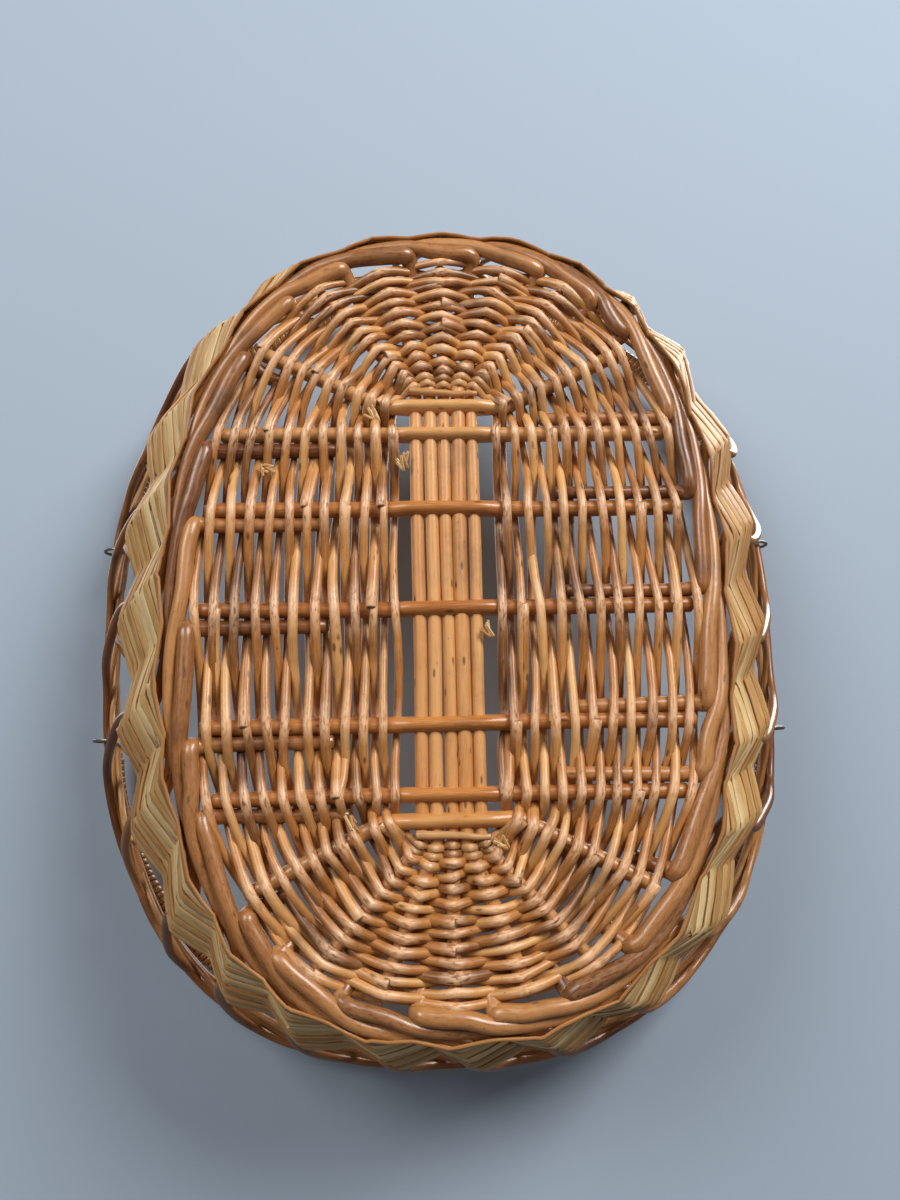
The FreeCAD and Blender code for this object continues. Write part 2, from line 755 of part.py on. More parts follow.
doc.recompute()
for item in doc.Objects:
    if "Invalid" in item.State or "Error" in item.State:
        raise ValueError(item.Label + " failed to compute")
os.makedirs("parts", exist_ok=True)
for part in sub_parts:
    if part.Shape.isNull() or not part.Shape.isValid() or part.Shape.Volume <= 0:
        raise ValueError(part.Label + " has no valid shape")
    part.Shape.exportStep("parts/%s.step" % part.Label)
print("wrote %d sub-parts; handle pivots at X %.3f, Y %.3f, Z %.3f"
      % (len(sub_parts), pivot_across, size("handle_pivot_spread"), pivot_height))
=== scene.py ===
# %% [markdown]
# # An oval willow basket, seen from below
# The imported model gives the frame: the places and sizes of sticks, wall, rim and handles.
# This lesson builds the willow, straw and cane that show, one kind of work at a time, and
# each piece is tied to the body that it moves with.

import math

import bpy
import numpy as np
from mathutils import Matrix, Vector


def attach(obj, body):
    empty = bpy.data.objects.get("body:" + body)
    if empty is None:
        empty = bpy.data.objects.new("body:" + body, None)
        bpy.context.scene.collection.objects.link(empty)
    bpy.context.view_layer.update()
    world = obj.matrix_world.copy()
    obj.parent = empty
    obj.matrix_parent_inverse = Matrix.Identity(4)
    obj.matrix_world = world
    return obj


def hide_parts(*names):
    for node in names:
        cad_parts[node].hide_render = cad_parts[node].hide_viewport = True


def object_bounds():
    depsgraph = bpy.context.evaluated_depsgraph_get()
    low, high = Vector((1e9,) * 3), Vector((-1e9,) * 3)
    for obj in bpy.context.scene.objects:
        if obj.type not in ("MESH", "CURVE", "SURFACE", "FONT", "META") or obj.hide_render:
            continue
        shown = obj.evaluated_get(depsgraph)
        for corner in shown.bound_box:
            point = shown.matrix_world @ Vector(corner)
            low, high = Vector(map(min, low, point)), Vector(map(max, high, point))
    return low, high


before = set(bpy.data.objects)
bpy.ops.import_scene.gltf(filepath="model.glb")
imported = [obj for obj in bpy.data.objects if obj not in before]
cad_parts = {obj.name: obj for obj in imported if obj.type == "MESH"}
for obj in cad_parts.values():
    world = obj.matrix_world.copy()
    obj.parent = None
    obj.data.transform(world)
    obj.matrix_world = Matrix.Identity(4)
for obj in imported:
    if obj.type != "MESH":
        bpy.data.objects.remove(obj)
cad_low, cad_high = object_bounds()
chance = np.random.default_rng(26)
MM = 0.001

# %% [markdown]
# ## The outline
# Everything on this basket follows one oval: the border lies along it, the wall flares out
# from it, and the weave fills it. So the oval comes first, as a function of an angle. A
# superellipse is rounder than a rectangle and squarer than an ellipse, as willow bent round
# two fans of sticks is.

# %% The foot's oval and the bowl of the wall
FOOT_HALF_WIDTH, FOOT_HALF_LENGTH, FOOT_ROUNDNESS = 148.0, 215.0, 2.46
SIDE_FLARE, END_FLARE = 71.0, 46.0
RIM_TOP, BOWL_POWER = 130.0, 1.75


def unit(v):
    """Each vector divided by its own length."""
    return v / np.maximum(np.linalg.norm(v, axis=-1, keepdims=True), 1e-9)


def oval(angle):
    """(cos a, sin a) * r, where r = (|cos a / half width|^n + |sin a / half length|^n)^(-1/n)."""
    c, s = np.cos(angle), np.sin(angle)
    n = FOOT_ROUNDNESS
    r = (np.abs(c / FOOT_HALF_WIDTH) ** n + np.abs(s / FOOT_HALF_LENGTH) ** n) ** (-1 / n)
    return np.stack([r * c, r * s], -1)


def oval_normal(angle):
    """Outward direction: each part is sign(p) * |p / half|^(n - 1) / half, made unit length."""
    p, half = oval(angle), np.array([FOOT_HALF_WIDTH, FOOT_HALF_LENGTH])
    return unit(np.sign(p) * np.abs(p / half) ** (FOOT_ROUNDNESS - 1) / half)


def beside_oval(angle, outward, height):
    """The oval's point moved out along its normal and up to a height."""
    angle, outward, height = np.broadcast_arrays(angle, outward, height)
    flat = oval(angle) + oval_normal(angle) * outward[..., None]
    return np.concatenate([flat, height[..., None]], -1)


def wall(angle, height, inset):
    """Point of the bowl: outward = flare * (1 - (1 - z / top)^1.75), then in, square to it."""
    angle, height, inset = np.broadcast_arrays(angle, height, inset)
    n = oval_normal(angle)
    flare = SIDE_FLARE * n[..., 0] ** 2 + END_FLARE * n[..., 1] ** 2
    left = 1.0 - np.clip(height / RIM_TOP, 0.0, 1.0)
    slope = flare * BOWL_POWER / RIM_TOP * left ** (BOWL_POWER - 1)
    out = flare * (1.0 - left ** BOWL_POWER) - inset * np.sqrt(1.0 + slope ** 2)
    return beside_oval(angle, out, height)


def meeting_angle(origin, direction, inset):
    """Where straight lines from inside meet the oval drawn in: halving the angle 40 times."""
    def miss(angle):
        gap = beside_oval(angle, -inset, 0.0)[..., :2] - origin
        return gap[..., 0] * direction[..., 1] - gap[..., 1] * direction[..., 0]

    middle = np.arctan2(direction[..., 1], direction[..., 0])
    low, high = middle - math.pi / 2, middle + math.pi / 2
    start_sign = miss(low) > 0
    for _ in range(40):
        centre = (low + high) / 2
        same = (miss(centre) > 0) == start_sign
        low, high = np.where(same, centre, low), np.where(same, high, centre)
    return low % (2 * math.pi)


print("rim half width and half length, mm:", wall(0.0, RIM_TOP, 0.0)[0].round(1),
      wall(math.pi / 2, RIM_TOP, 0.0)[1].round(1))

# %% [markdown]
# ## One tool for every rod
# Nearly all of the basket is one idea: a section carried along a line. A willow rod is a
# round section that thins towards its tip, a straw is a flat one, cane is half of one. The
# tool takes many lines at once as one array, so a whole round of weaving is a few sums. It
# also writes what the finishes will need: how far along the rod each point is, how far
# round it, a tint for the whole rod, where it is pale at its bends (partly wear, partly a
# painted highlight), and where it is cut.

# %% Carry a section along many lines
CUT_REACH, CUT_WIDTH = 0.3, 0.7  # of the rod's own radius, at the ring past each end


def carry(name, lines, wide, thick=None, up=(0, 0, 1), sides=8, closed=False, squareness=1.0,
          tint=None, wear_and_highlight=0.0):
    """Point = line + side * wide * cos^q t + top * thick * sin^q t, for t round the section.

    side is the line's direction crossed with up, and top is side crossed with direction.
    Open rods get a narrower ring just past each end and a flat cut face.
    """
    lines = np.asarray(lines, float)
    rods, length = lines.shape[:2]
    wide = np.broadcast_to(wide, (rods, length))
    thick = wide if thick is None else np.broadcast_to(thick, (rods, length))
    up = np.broadcast_to(up, lines.shape)
    wear_and_highlight = np.broadcast_to(wear_and_highlight, (rods, length))
    tint = chance.random(rods) if tint is None else np.asarray(tint, float)
    if not closed:
        past = wide[..., None] * CUT_REACH
        first = lines[:, :1] - unit(lines[:, 1:2] - lines[:, :1]) * past[:, :1]
        last = lines[:, -1:] + unit(lines[:, -1:] - lines[:, -2:-1]) * past[:, -1:]
        lines = np.concatenate([first, lines, last], 1)
        wide, thick = (np.concatenate([w[:, :1] * CUT_WIDTH, w, w[:, -1:] * CUT_WIDTH], 1)
                       for w in (wide, thick))
        up, wear_and_highlight = (np.concatenate([v[:, :1], v, v[:, -1:]], 1) for v in (up, wear_and_highlight))
        length += 2
    step_on = np.roll(lines, -1, 1) - lines
    heading = unit(unit(step_on) + unit(np.roll(step_on, 1, 1)))
    if not closed:
        heading[:, 0], heading[:, -1] = unit(step_on[:, 0]), unit(step_on[:, -2])
    side = unit(np.cross(heading, up))
    top = np.cross(side, heading)
    turn = 2 * math.pi * np.arange(sides) / sides
    across, over = (np.sign(f) * np.abs(f) ** squareness for f in (np.cos(turn), np.sin(turn)))
    points = (lines[:, :, None] + side[:, :, None] * (wide[..., None] * across)[..., None]
              + top[:, :, None] * (thick[..., None] * over)[..., None])

    index = np.arange(rods * length * sides).reshape(rods, length, sides)
    here = index if closed else index[:, :-1]
    after = np.roll(index, -1, 1) if closed else index[:, 1:]
    quads = np.stack([here, after, np.roll(after, -1, 2), np.roll(here, -1, 2)], -1)
    run = np.linalg.norm(step_on, axis=-1)
    along = np.concatenate([np.zeros((rods, 1)), np.cumsum(run, 1)], 1) * MM
    spans = here.shape[1]
    u = np.stack([along[:, :spans], along[:, 1:spans + 1]] * 2, -1)[..., [0, 1, 1, 0]]
    u = np.broadcast_to(u[:, :, None], quads.shape)
    v = np.arange(sides)[:, None] / sides + np.array([0, 0, 1, 1]) / sides
    uv = np.stack([u, np.broadcast_to(v, quads.shape)], -1).reshape(-1, 2)
    faces = quads.reshape(-1, 4).tolist()
    if not closed:
        faces += index[:, 0].tolist() + index[:, -1, ::-1].tolist()
        cap_u = np.repeat(np.concatenate([along[:, 0], along[:, length - 1]]), sides)
        cap_v = np.tile(np.arange(sides) / sides, 2 * rods)
        uv = np.concatenate([uv, np.stack([cap_u, cap_v], -1)])

    mesh = bpy.data.meshes.new(name)
    mesh.from_pydata((points.reshape(-1, 3) * MM).tolist(), [], faces)
    mesh.uv_layers.new(name="rod").data.foreach_set("uv", uv.ravel())
    smooth = np.ones(len(faces), bool)
    smooth[quads.size // 4:] = False
    mesh.polygons.foreach_set("use_smooth", smooth)
    cut = np.zeros((rods, length))
    if not closed:
        cut[:, [0, -1]] = 1.0
    for label, value in (("tint", np.broadcast_to(tint[:, None], (rods, length))),
                         ("wear_and_highlight", wear_and_highlight), ("cut", cut)):
        layer = mesh.attributes.new(label, "FLOAT", "POINT")
        layer.data.foreach_set("value", np.repeat(value.ravel(), sides))
    mesh.update()
    piece = bpy.data.objects.new(name, mesh)
    bpy.context.scene.collection.objects.link(piece)
    print(f"{name}: {rods} rods, {len(faces)} faces")
    return piece


def curve_weights(controls, samples):
    """Cubic B-spline weights: 2/3 - x^2 + |x|^3 / 2 near a point, (2 - |x|)^3 / 6 farther off.

    A mirrored point past each end makes the curve start and finish on its first and last one.
    """
    t = np.linspace(0, controls - 1, samples)[:, None]
    x = np.abs(t - np.arange(-1, controls + 1))
    w = np.where(x < 1, 2 / 3 - x ** 2 + x ** 3 / 2, np.clip(2 - x, 0, None) ** 3 / 6)
    w[:, 1] += 2 * w[:, 0]
    w[:, 2] -= w[:, 0]
    w[:, -2] += 2 * w[:, -1]
    w[:, -3] -= w[:, -1]
    return w[:, 1:-1]


def bent_through(controls, samples):
    """Smooth lines from an array of rods by control points: one matrix product for them all."""
    return np.einsum("sc,rcx->rsx", curve_weights(controls.shape[1], samples), controls)


def wander(lines, amount, waves=3):
    """Adds a slow crookedness: a sum of a few sine waves along each rod, of random phase."""
    rods, length = lines.shape[:2]
    t = np.linspace(0, 1, length)
    total = np.zeros(lines.shape)
    for wave in range(1, waves + 1):
        phase = chance.random((rods, 1, 3)) * 2 * math.pi
        total += np.sin(wave * 2 * math.pi * t[None, :, None] + phase) / wave
    return lines + total * amount


# %% [markdown]
# ## Willow, straw and cane as finishes
# Buff willow is boiled in its bark, so it is stained from honey to brown, has fine grain
# along the rod, small dark bud scars, and pale places where it bends over a stick, which are
# partly rubbed wear and partly a painted highlight.
# Those effects are shared by every rod, so each is a node group with its own inputs. The
# pattern follows the rod: its first coordinate is metres along it and the other two go round
# it as a circle does, which leaves no seam.

# %% Helpers for nodes
def srgb(red, green, blue):
    """Colour from 0 to 255 per channel, as the linear value that a socket takes."""
    c = np.array([red, green, blue]) / 255
    return (*np.where(c < 0.04045, c / 12.92, ((c + 0.055) / 1.055) ** 2.4).tolist(), 1.0)


def node(tree, kind, inputs=None, **settings):
    """New node: settings are its own, inputs are values or sockets to link."""
    made = tree.nodes.new("ShaderNode" + kind)
    for key, value in settings.items():
        setattr(made, key, value)
    for key, value in (inputs or {}).items():
        if isinstance(value, bpy.types.NodeSocket):
            tree.links.new(value, made.inputs[key])
        else:
            made.inputs[key].default_value = value
    return made


def calc(tree, operation, first, second=0.0, third=0.0):
    """One sum, as the socket that its answer comes out of."""
    made = node(tree, "Math", {0: first, 1: second, 2: third}, operation=operation)
    return made.outputs[0]


def span(tree, value, low, high, out_low=0.0, out_high=1.0):
    """Stretches a range of a value to another range, smoothly and without going past it."""
    made = node(tree, "MapRange", {"Value": value, "From Min": low, "From Max": high,
                                   "To Min": out_low, "To Max": out_high},
                interpolation_type="SMOOTHSTEP")
    return made.outputs["Result"]


def mixed(tree, factor, first, second, blend="MIX"):
    """Two colours mixed."""
    made = node(tree, "Mix", {0: factor, 6: first, 7: second}, data_type="RGBA",
                blend_type=blend)
    return made.outputs[2]


def noise(tree, place, scale, detail=2.0, roughness=0.5):
    """Cloudy value from 0 to 1."""
    made = node(tree, "TexNoise", {"Vector": place, "Scale": scale, "Detail": detail,
                                   "Roughness": roughness})
    return made.outputs["Fac"]


def stretched(tree, place, along, across):
    """The rod's coordinates, with its length and its girth scaled apart."""
    return node(tree, "VectorMath", {0: place, 1: (along, across, across)},
                operation="MULTIPLY").outputs[0]


def new_group(name, inputs, outputs):
    """Node group with named sockets; inputs are (name, kind, value), outputs (name, kind)."""
    tree = bpy.data.node_groups.new(name, "ShaderNodeTree")
    for label, kind, value in inputs:
        socket = tree.interface.new_socket(label, in_out="INPUT",
                                           socket_type="NodeSocket" + kind)
        if value is not None:
            socket.default_value = value
    for label, kind in outputs:
        tree.interface.new_socket(label, in_out="OUTPUT", socket_type="NodeSocket" + kind)
    return tree, tree.nodes.new("NodeGroupInput").outputs, tree.nodes.new("NodeGroupOutput")


# %% Group: colour and grain of a rod
tree, given, result = new_group(
    "Willow grain",
    [("Place", "Vector", None), ("Tint", "Float", 0.5), ("Dark", "Color", (0, 0, 0, 1)),
     ("Middle", "Color", (0, 0, 0, 1)), ("Pale", "Color", (0, 0, 0, 1)),
     ("Scars", "Float", 1.0)],
    [("Color", "Color"), ("Height", "Float"), ("Gloss", "Float")])
place = given["Place"]
drift = noise(tree, stretched(tree, place, 14.0, 60.0), 1.0, 3.0, 0.6)
fibre = noise(tree, stretched(tree, place, 90.0, 1500.0), 1.0, 3.0, 0.65)
base = calc(tree, "ADD", calc(tree, "MULTIPLY", drift, 0.7),
            calc(tree, "MULTIPLY", given["Tint"], 0.75))
colour = mixed(tree, span(tree, base, 0.3, 0.75), given["Dark"], given["Middle"])
colour = mixed(tree, span(tree, base, 0.68, 1.05), colour, given["Pale"])
colour = mixed(tree, span(tree, fibre, 0.42, 0.75, 0.0, 0.35), colour, given["Pale"])
colour = mixed(tree, span(tree, fibre, 0.5, 0.25, 0.0, 0.45), colour, given["Dark"])
scar_cells = node(tree, "TexVoronoi", {"Vector": stretched(tree, place, 55.0, 160.0),
                                       "Scale": 1.0, "Randomness": 1.0})
scar = calc(tree, "MULTIPLY", span(tree, scar_cells.outputs["Distance"], 0.17, 0.08),
            given["Scars"])
speck = noise(tree, stretched(tree, place, 380.0, 700.0), 1.0, 2.0)
scar = calc(tree, "MAXIMUM", scar, calc(tree, "MULTIPLY", span(tree, speck, 0.71, 0.76),
                                        given["Scars"]))
colour = mixed(tree, calc(tree, "MULTIPLY", scar, 0.75), colour, srgb(70, 38, 20))
height = calc(tree, "ADD", calc(tree, "MULTIPLY", fibre, 0.5),
              calc(tree, "MULTIPLY", drift, 0.8))
tree.links.new(colour, result.inputs["Color"])
tree.links.new(calc(tree, "SUBTRACT", height, calc(tree, "MULTIPLY", scar, 0.6)),
               result.inputs["Height"])
tree.links.new(span(tree, fibre, 0.3, 0.7), result.inputs["Gloss"])
print("group", tree.name, len(tree.nodes), "nodes")

# %% [markdown]
# Years of handling rub the bends and high places pale; that paleness is partly wear and
# partly a painted highlight. Dirt darkens the rods in random patches.

# %% Groups: pale bends (wear and painted highlight), cut ends and grime
tree, given, result = new_group(
    "Wear, highlight and grime",
    [("Color", "Color", (0, 0, 0, 1)), ("Place", "Vector", None), ("Wear and highlight", "Float", 0.0),
     ("Cut", "Float", 0.0), ("Wear and highlight color", "Color", (0, 0, 0, 1)),
     ("Cut color", "Color", (0, 0, 0, 1)), ("Grime", "Float", 0.5)],
    [("Color", "Color"), ("Grime", "Float")])
object_place = node(tree, "TexCoord").outputs["Object"]
patchy = noise(tree, object_place, 22.0, 4.0, 0.6)
broken = noise(tree, stretched(tree, given["Place"], 300.0, 900.0), 1.0, 2.0)
# Paler at each bend: partly rubbed wear, partly a painted highlight.
bend_wear_and_highlight = calc(tree, "MULTIPLY", given["Wear and highlight"], span(tree, broken, 0.3, 0.55))
colour = mixed(tree, calc(tree, "MULTIPLY", bend_wear_and_highlight, 0.75), given["Color"], given["Wear and highlight color"])
dirt = calc(tree, "MULTIPLY", span(tree, patchy, 0.5, 0.75), given["Grime"])
colour = mixed(tree, dirt, colour, srgb(92, 54, 30), "MULTIPLY")
colour = mixed(tree, calc(tree, "MULTIPLY", given["Cut"], 0.9), colour, given["Cut color"])
tree.links.new(colour, result.inputs["Color"])
tree.links.new(dirt, result.inputs["Grime"])
print("group", tree.name, len(tree.nodes), "nodes")


# %% A willow finish from the groups
def rod_place(tree, girth):
    """(metres along, cos t * girth, sin t * girth), moved on by the rod's own tint."""
    uv = node(tree, "SeparateXYZ", {0: node(tree, "UVMap", uv_map="rod").outputs[0]}).outputs
    turn = calc(tree, "MULTIPLY", uv[1], 2 * math.pi)
    tint = node(tree, "Attribute", attribute_name="tint").outputs["Fac"]
    along = calc(tree, "ADD", uv[0], calc(tree, "MULTIPLY", tint, 7.0))
    return node(tree, "CombineXYZ", {
        0: along,
        1: calc(tree, "MULTIPLY", calc(tree, "COSINE", turn), girth),
        2: calc(tree, "MULTIPLY", calc(tree, "SINE", turn), girth)}).outputs[0], tint


def willow(name, dark, middle, pale, bend_wear_and_highlight, cut, girth=0.003, scars=1.0, grime=0.5,
           roughness=(0.32, 0.5), coat=0.25, bump=0.00025):
    """Varnished willow rod."""
    material = bpy.data.materials.new(name)
    material.use_nodes = True
    tree = material.node_tree
    shader = tree.nodes["Principled BSDF"]
    place, tint = rod_place(tree, girth)
    grain = node(tree, "Group", node_tree=bpy.data.node_groups["Willow grain"])
    wear_and_highlight_group = node(tree, "Group", node_tree=bpy.data.node_groups["Wear, highlight and grime"])
    for socket, value in (("Place", place), ("Tint", tint)):
        tree.links.new(value, grain.inputs[socket])
    for socket, value in (("Dark", dark), ("Middle", middle), ("Pale", pale),
                          ("Scars", scars)):
        grain.inputs[socket].default_value = value
    tree.links.new(grain.outputs["Color"], wear_and_highlight_group.inputs["Color"])
    tree.links.new(place, wear_and_highlight_group.inputs["Place"])
    # The pale bends are partly wear and partly a painted highlight.
    for socket, attribute in (("Wear and highlight", "wear_and_highlight"), ("Cut", "cut")):
        layer = node(tree, "Attribute", attribute_name=attribute)
        tree.links.new(layer.outputs["Fac"], wear_and_highlight_group.inputs[socket])
    for socket, value in (("Wear and highlight color", bend_wear_and_highlight), ("Cut color", cut), ("Grime", grime)):
        wear_and_highlight_group.inputs[socket].default_value = value
    tree.links.new(wear_and_highlight_group.outputs["Color"], shader.inputs["Base Color"])
    tree.links.new(calc(tree, "ADD", span(tree, grain.outputs["Gloss"], 0.0, 1.0, *roughness),
                        calc(tree, "MULTIPLY", wear_and_highlight_group.outputs["Grime"], 0.2)),
                   shader.inputs["Roughness"])
    shader.inputs["Coat Weight"].default_value = coat
    shader.inputs["Coat Roughness"].default_value = 0.28
    bumped = node(tree, "Bump", {"Strength": 0.6, "Distance": bump,
                                 "Height": grain.outputs["Height"]})
    tree.links.new(bumped.outputs[0], shader.inputs["Normal"])
    return material


CUT_WOOD = srgb(120, 84, 52)
stick_willow = willow("stick_willow", srgb(160, 92, 40), srgb(198, 134, 72),
                      srgb(216, 160, 98), srgb(230, 178, 122), CUT_WOOD, 0.004,
                      grime=0.4, coat=0.15, roughness=(0.38, 0.55))
cross_willow = willow("cross_stick_willow", srgb(146, 80, 30), srgb(190, 122, 58),
                      srgb(214, 160, 100), srgb(232, 180, 126), CUT_WOOD, 0.004,
                      grime=0.4, coat=0.35, roughness=(0.28, 0.46))
weaver_willow = willow("weaver_willow", srgb(112, 64, 26), srgb(178, 114, 54),
                       srgb(218, 164, 100), srgb(238, 192, 152), srgb(86, 56, 36), 0.002,
                       grime=0.6)
tie_willow = willow("tie_willow", srgb(120, 72, 36), srgb(176, 122, 68), srgb(206, 156, 104),
                    srgb(226, 180, 134), CUT_WOOD, 0.0012, grime=0.5)
border_willow = willow("border_willow", srgb(98, 50, 20), srgb(150, 92, 44),
                       srgb(182, 124, 70), srgb(224, 174, 120), srgb(96, 62, 38), 0.0038,
                       grime=0.6, coat=0.5, roughness=(0.26, 0.42))
stake_willow = willow("stake_willow", srgb(126, 76, 34), srgb(176, 118, 62),
                      srgb(206, 154, 94), srgb(216, 166, 116), CUT_WOOD, 0.0024, grime=0.5)
print("willow finishes made")

# %% [markdown]
# ## The slath: five long sticks through seven split ones
# The base starts as a cross. Seven stout sticks are split at the middle and five thinner
# ones are pushed through the splits. At each end the five spread like a fan. Sticks are cut
# from real rods, so each is a little crooked. A split stick is an oval section that swells
# where the long ones pass through it.

# %% Long and cross sticks
STICK_HEIGHT = 9.5
LONG_RADIUS, LONG_PITCH = 3.6, 7.6
CROSS_RADIUS, CROSS_KNEE, CROSS_LIFT = 4.25, 33.85, math.radians(26)
SPLIT_HALF_HEIGHT = 7.05
FAN_START, FAN_STEP = 122.0, math.radians(21)
CROSS_PLACES = np.array([-112.0, -96.0, -53.0, 2.0, 63.0, 99.0, 112.0])
STICK_REACH_INSET = 17.5

long_x = (np.arange(5) - 2) * LONG_PITCH
long_turn = math.pi / 2 - (np.arange(5) - 2) * FAN_STEP
long_heading = np.stack([np.cos(long_turn), np.sin(long_turn)], -1)
cross_lift = np.where(np.abs(CROSS_PLACES) > 111, np.sign(CROSS_PLACES) * CROSS_LIFT, 0.0)
cross_heading = np.stack([np.cos(cross_lift), np.sin(cross_lift)], -1)
FLIP_X, FLIP_Y = np.array([-1.0, 1.0]), np.array([1.0, -1.0])


def tips(origin, heading):
    """End of each stick: where it is an inset away from the oval."""
    angle = meeting_angle(origin, heading, STICK_REACH_INSET)
    edge = beside_oval(angle, -STICK_REACH_INSET, 0.0)[..., :2]
    reach = np.sum((edge - origin) * heading, -1, keepdims=True)
    return origin + heading * reach


rear_knee = np.stack([long_x, np.full(5, FAN_START)], -1)
front_knee = rear_knee * FLIP_Y
right_knee = np.stack([np.full(7, CROSS_KNEE), CROSS_PLACES], -1)
left_knee = right_knee * FLIP_X


def flat_line(stops, samples, heights):
    """Straight runs through flat points, sampled evenly, with a height given to them."""
    t = np.linspace(0, stops.shape[1] - 1, samples)
    low = np.minimum(t.astype(int), stops.shape[1] - 2)
    part = (t - low)[:, None]
    flat = stops[:, low] * (1 - part) + stops[:, low + 1] * part
    return np.concatenate([flat, np.broadcast_to(heights, flat.shape[:2])[..., None]], -1)


long_stops = np.stack([tips(front_knee, long_heading * FLIP_Y), front_knee, front_knee * 0.33,
                       rear_knee * [1, 0.33], rear_knee, tips(rear_knee, long_heading)], 1)
long_stops[:, 2, 0] = long_x
long_lines = wander(flat_line(long_stops, 61, STICK_HEIGHT), [0.35, 0.5, 0.2])
long_sticks = carry("long_sticks", long_lines,
                    LONG_RADIUS * (1 + 0.05 * chance.normal(size=(5, 1))), sides=14,
                    tint=[0.55, 0.8, 0.7, 0.62, 0.75])
cross_stops = np.stack([tips(left_knee, cross_heading * FLIP_X), left_knee,
                        right_knee, tips(right_knee, cross_heading)], 1)
cross_lines = wander(flat_line(cross_stops, 61, STICK_HEIGHT), [0.2, 0.3, 0.1], 2)
from_middle = np.abs(cross_lines[..., 0])
swell = np.clip((CROSS_KNEE - 3 - from_middle) / 12.0, 0, 1)
cross_thick = CROSS_RADIUS + (SPLIT_HALF_HEIGHT - CROSS_RADIUS) * swell * swell * (3 - 2 * swell)
cross_sticks = carry("cross_sticks", cross_lines,
                     CROSS_RADIUS * (1 + 0.05 * chance.normal(size=(7, 1))), cross_thick,
                     sides=16, tint=[0.95, 0.8, 0.3, 0.2, 0.35, 0.35, 0.6])
for piece, finish, kind, count in ((long_sticks, stick_willow, "long", 5),
                                   (cross_sticks, cross_willow, "cross", 7)):
    piece.data.materials.append(finish)
    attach(piece, "basket")
    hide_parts(*[f"base_{kind}_stick_{i + 1}" for i in range(count)])

# %% [markdown]
# ## The base weave
# Fine rods go round and round the sticks, over one and under the next, and each round does
# the opposite of the last. So a rod's height flips from stick to stick, it runs straight in
# between, and it bends where it crosses. The crossing points make a grid, rounds by sticks,
# and each rod is a stretch of one row of that grid.

# %% Crossing points of the weave
ROUNDS = 21
SLOT_EDGE, FAN_CLEAR = 26.5, 10.0
spoke_start = np.concatenate([right_knee * [SLOT_EDGE / CROSS_KNEE, 1], rear_knee[::-1],
                              left_knee[::-1] * [SLOT_EDGE / CROSS_KNEE, 1], front_knee])
spoke_knee = np.concatenate([right_knee, rear_knee[::-1], left_knee[::-1], front_knee])
spoke_heading = np.concatenate([cross_heading, long_heading[::-1], (cross_heading * FLIP_X)[::-1],
                                long_heading * FLIP_Y])
spoke_radius = np.repeat([CROSS_RADIUS, LONG_RADIUS, CROSS_RADIUS, LONG_RADIUS], [7, 5, 7, 5])
SPOKES = len(spoke_start)
to_knee = np.linalg.norm(spoke_knee - spoke_start, axis=-1)
from_knee = np.linalg.norm(tips(spoke_knee, spoke_heading) - spoke_knee, axis=-1)
first_round = np.where(spoke_radius == CROSS_RADIUS, 2.0, FAN_CLEAR)


def on_spoke(spoke, distance):
    """Flat point a distance along a stick: straight to its knee, then on along its heading."""
    past = np.clip(distance - to_knee[spoke], 0, None)[..., None]
    before = np.minimum(distance, to_knee[spoke])[..., None]
    inward = unit(spoke_knee - spoke_start + spoke_heading * 1e-6)
    return spoke_start[spoke] + inward[spoke] * before + spoke_heading[spoke] * past


LAST_BEYOND = 1.6
last_round = to_knee + from_knee + LAST_BEYOND
edge_inset = STICK_REACH_INSET - LAST_BEYOND
edge_angle = np.unwrap(meeting_angle(spoke_knee, spoke_heading, edge_inset))
edge_middle = (edge_angle + np.append(edge_angle[1:], edge_angle[0] + 2 * math.pi)) / 2
edge_place = beside_oval(edge_angle, -edge_inset, 0.0)[..., :2]
bulge = (beside_oval(edge_middle, -edge_inset, 0.0)[..., :2]
         - (edge_place + np.roll(edge_place, -1, 0)) / 2)
share = (np.arange(ROUNDS) / (ROUNDS - 1))[:, None]
round_distance = first_round + (last_round - first_round) * share
round_distance = round_distance + chance.normal(0, 0.5, round_distance.shape)
print("pitch of the rounds, mm: sides", ((last_round - first_round)[3] / (ROUNDS - 1)).round(2),
      "ends", ((last_round - first_round)[9] / (ROUNDS - 1)).round(2))

# %% Weave the rods
STRIDE = np.array([0.0, 0.1, 0.26, 0.5, 0.74, 0.9])
HAIR_GAP, EASE, WEAR_AND_HIGHLIGHT_REACH = 0.02, 0.08, 0.13


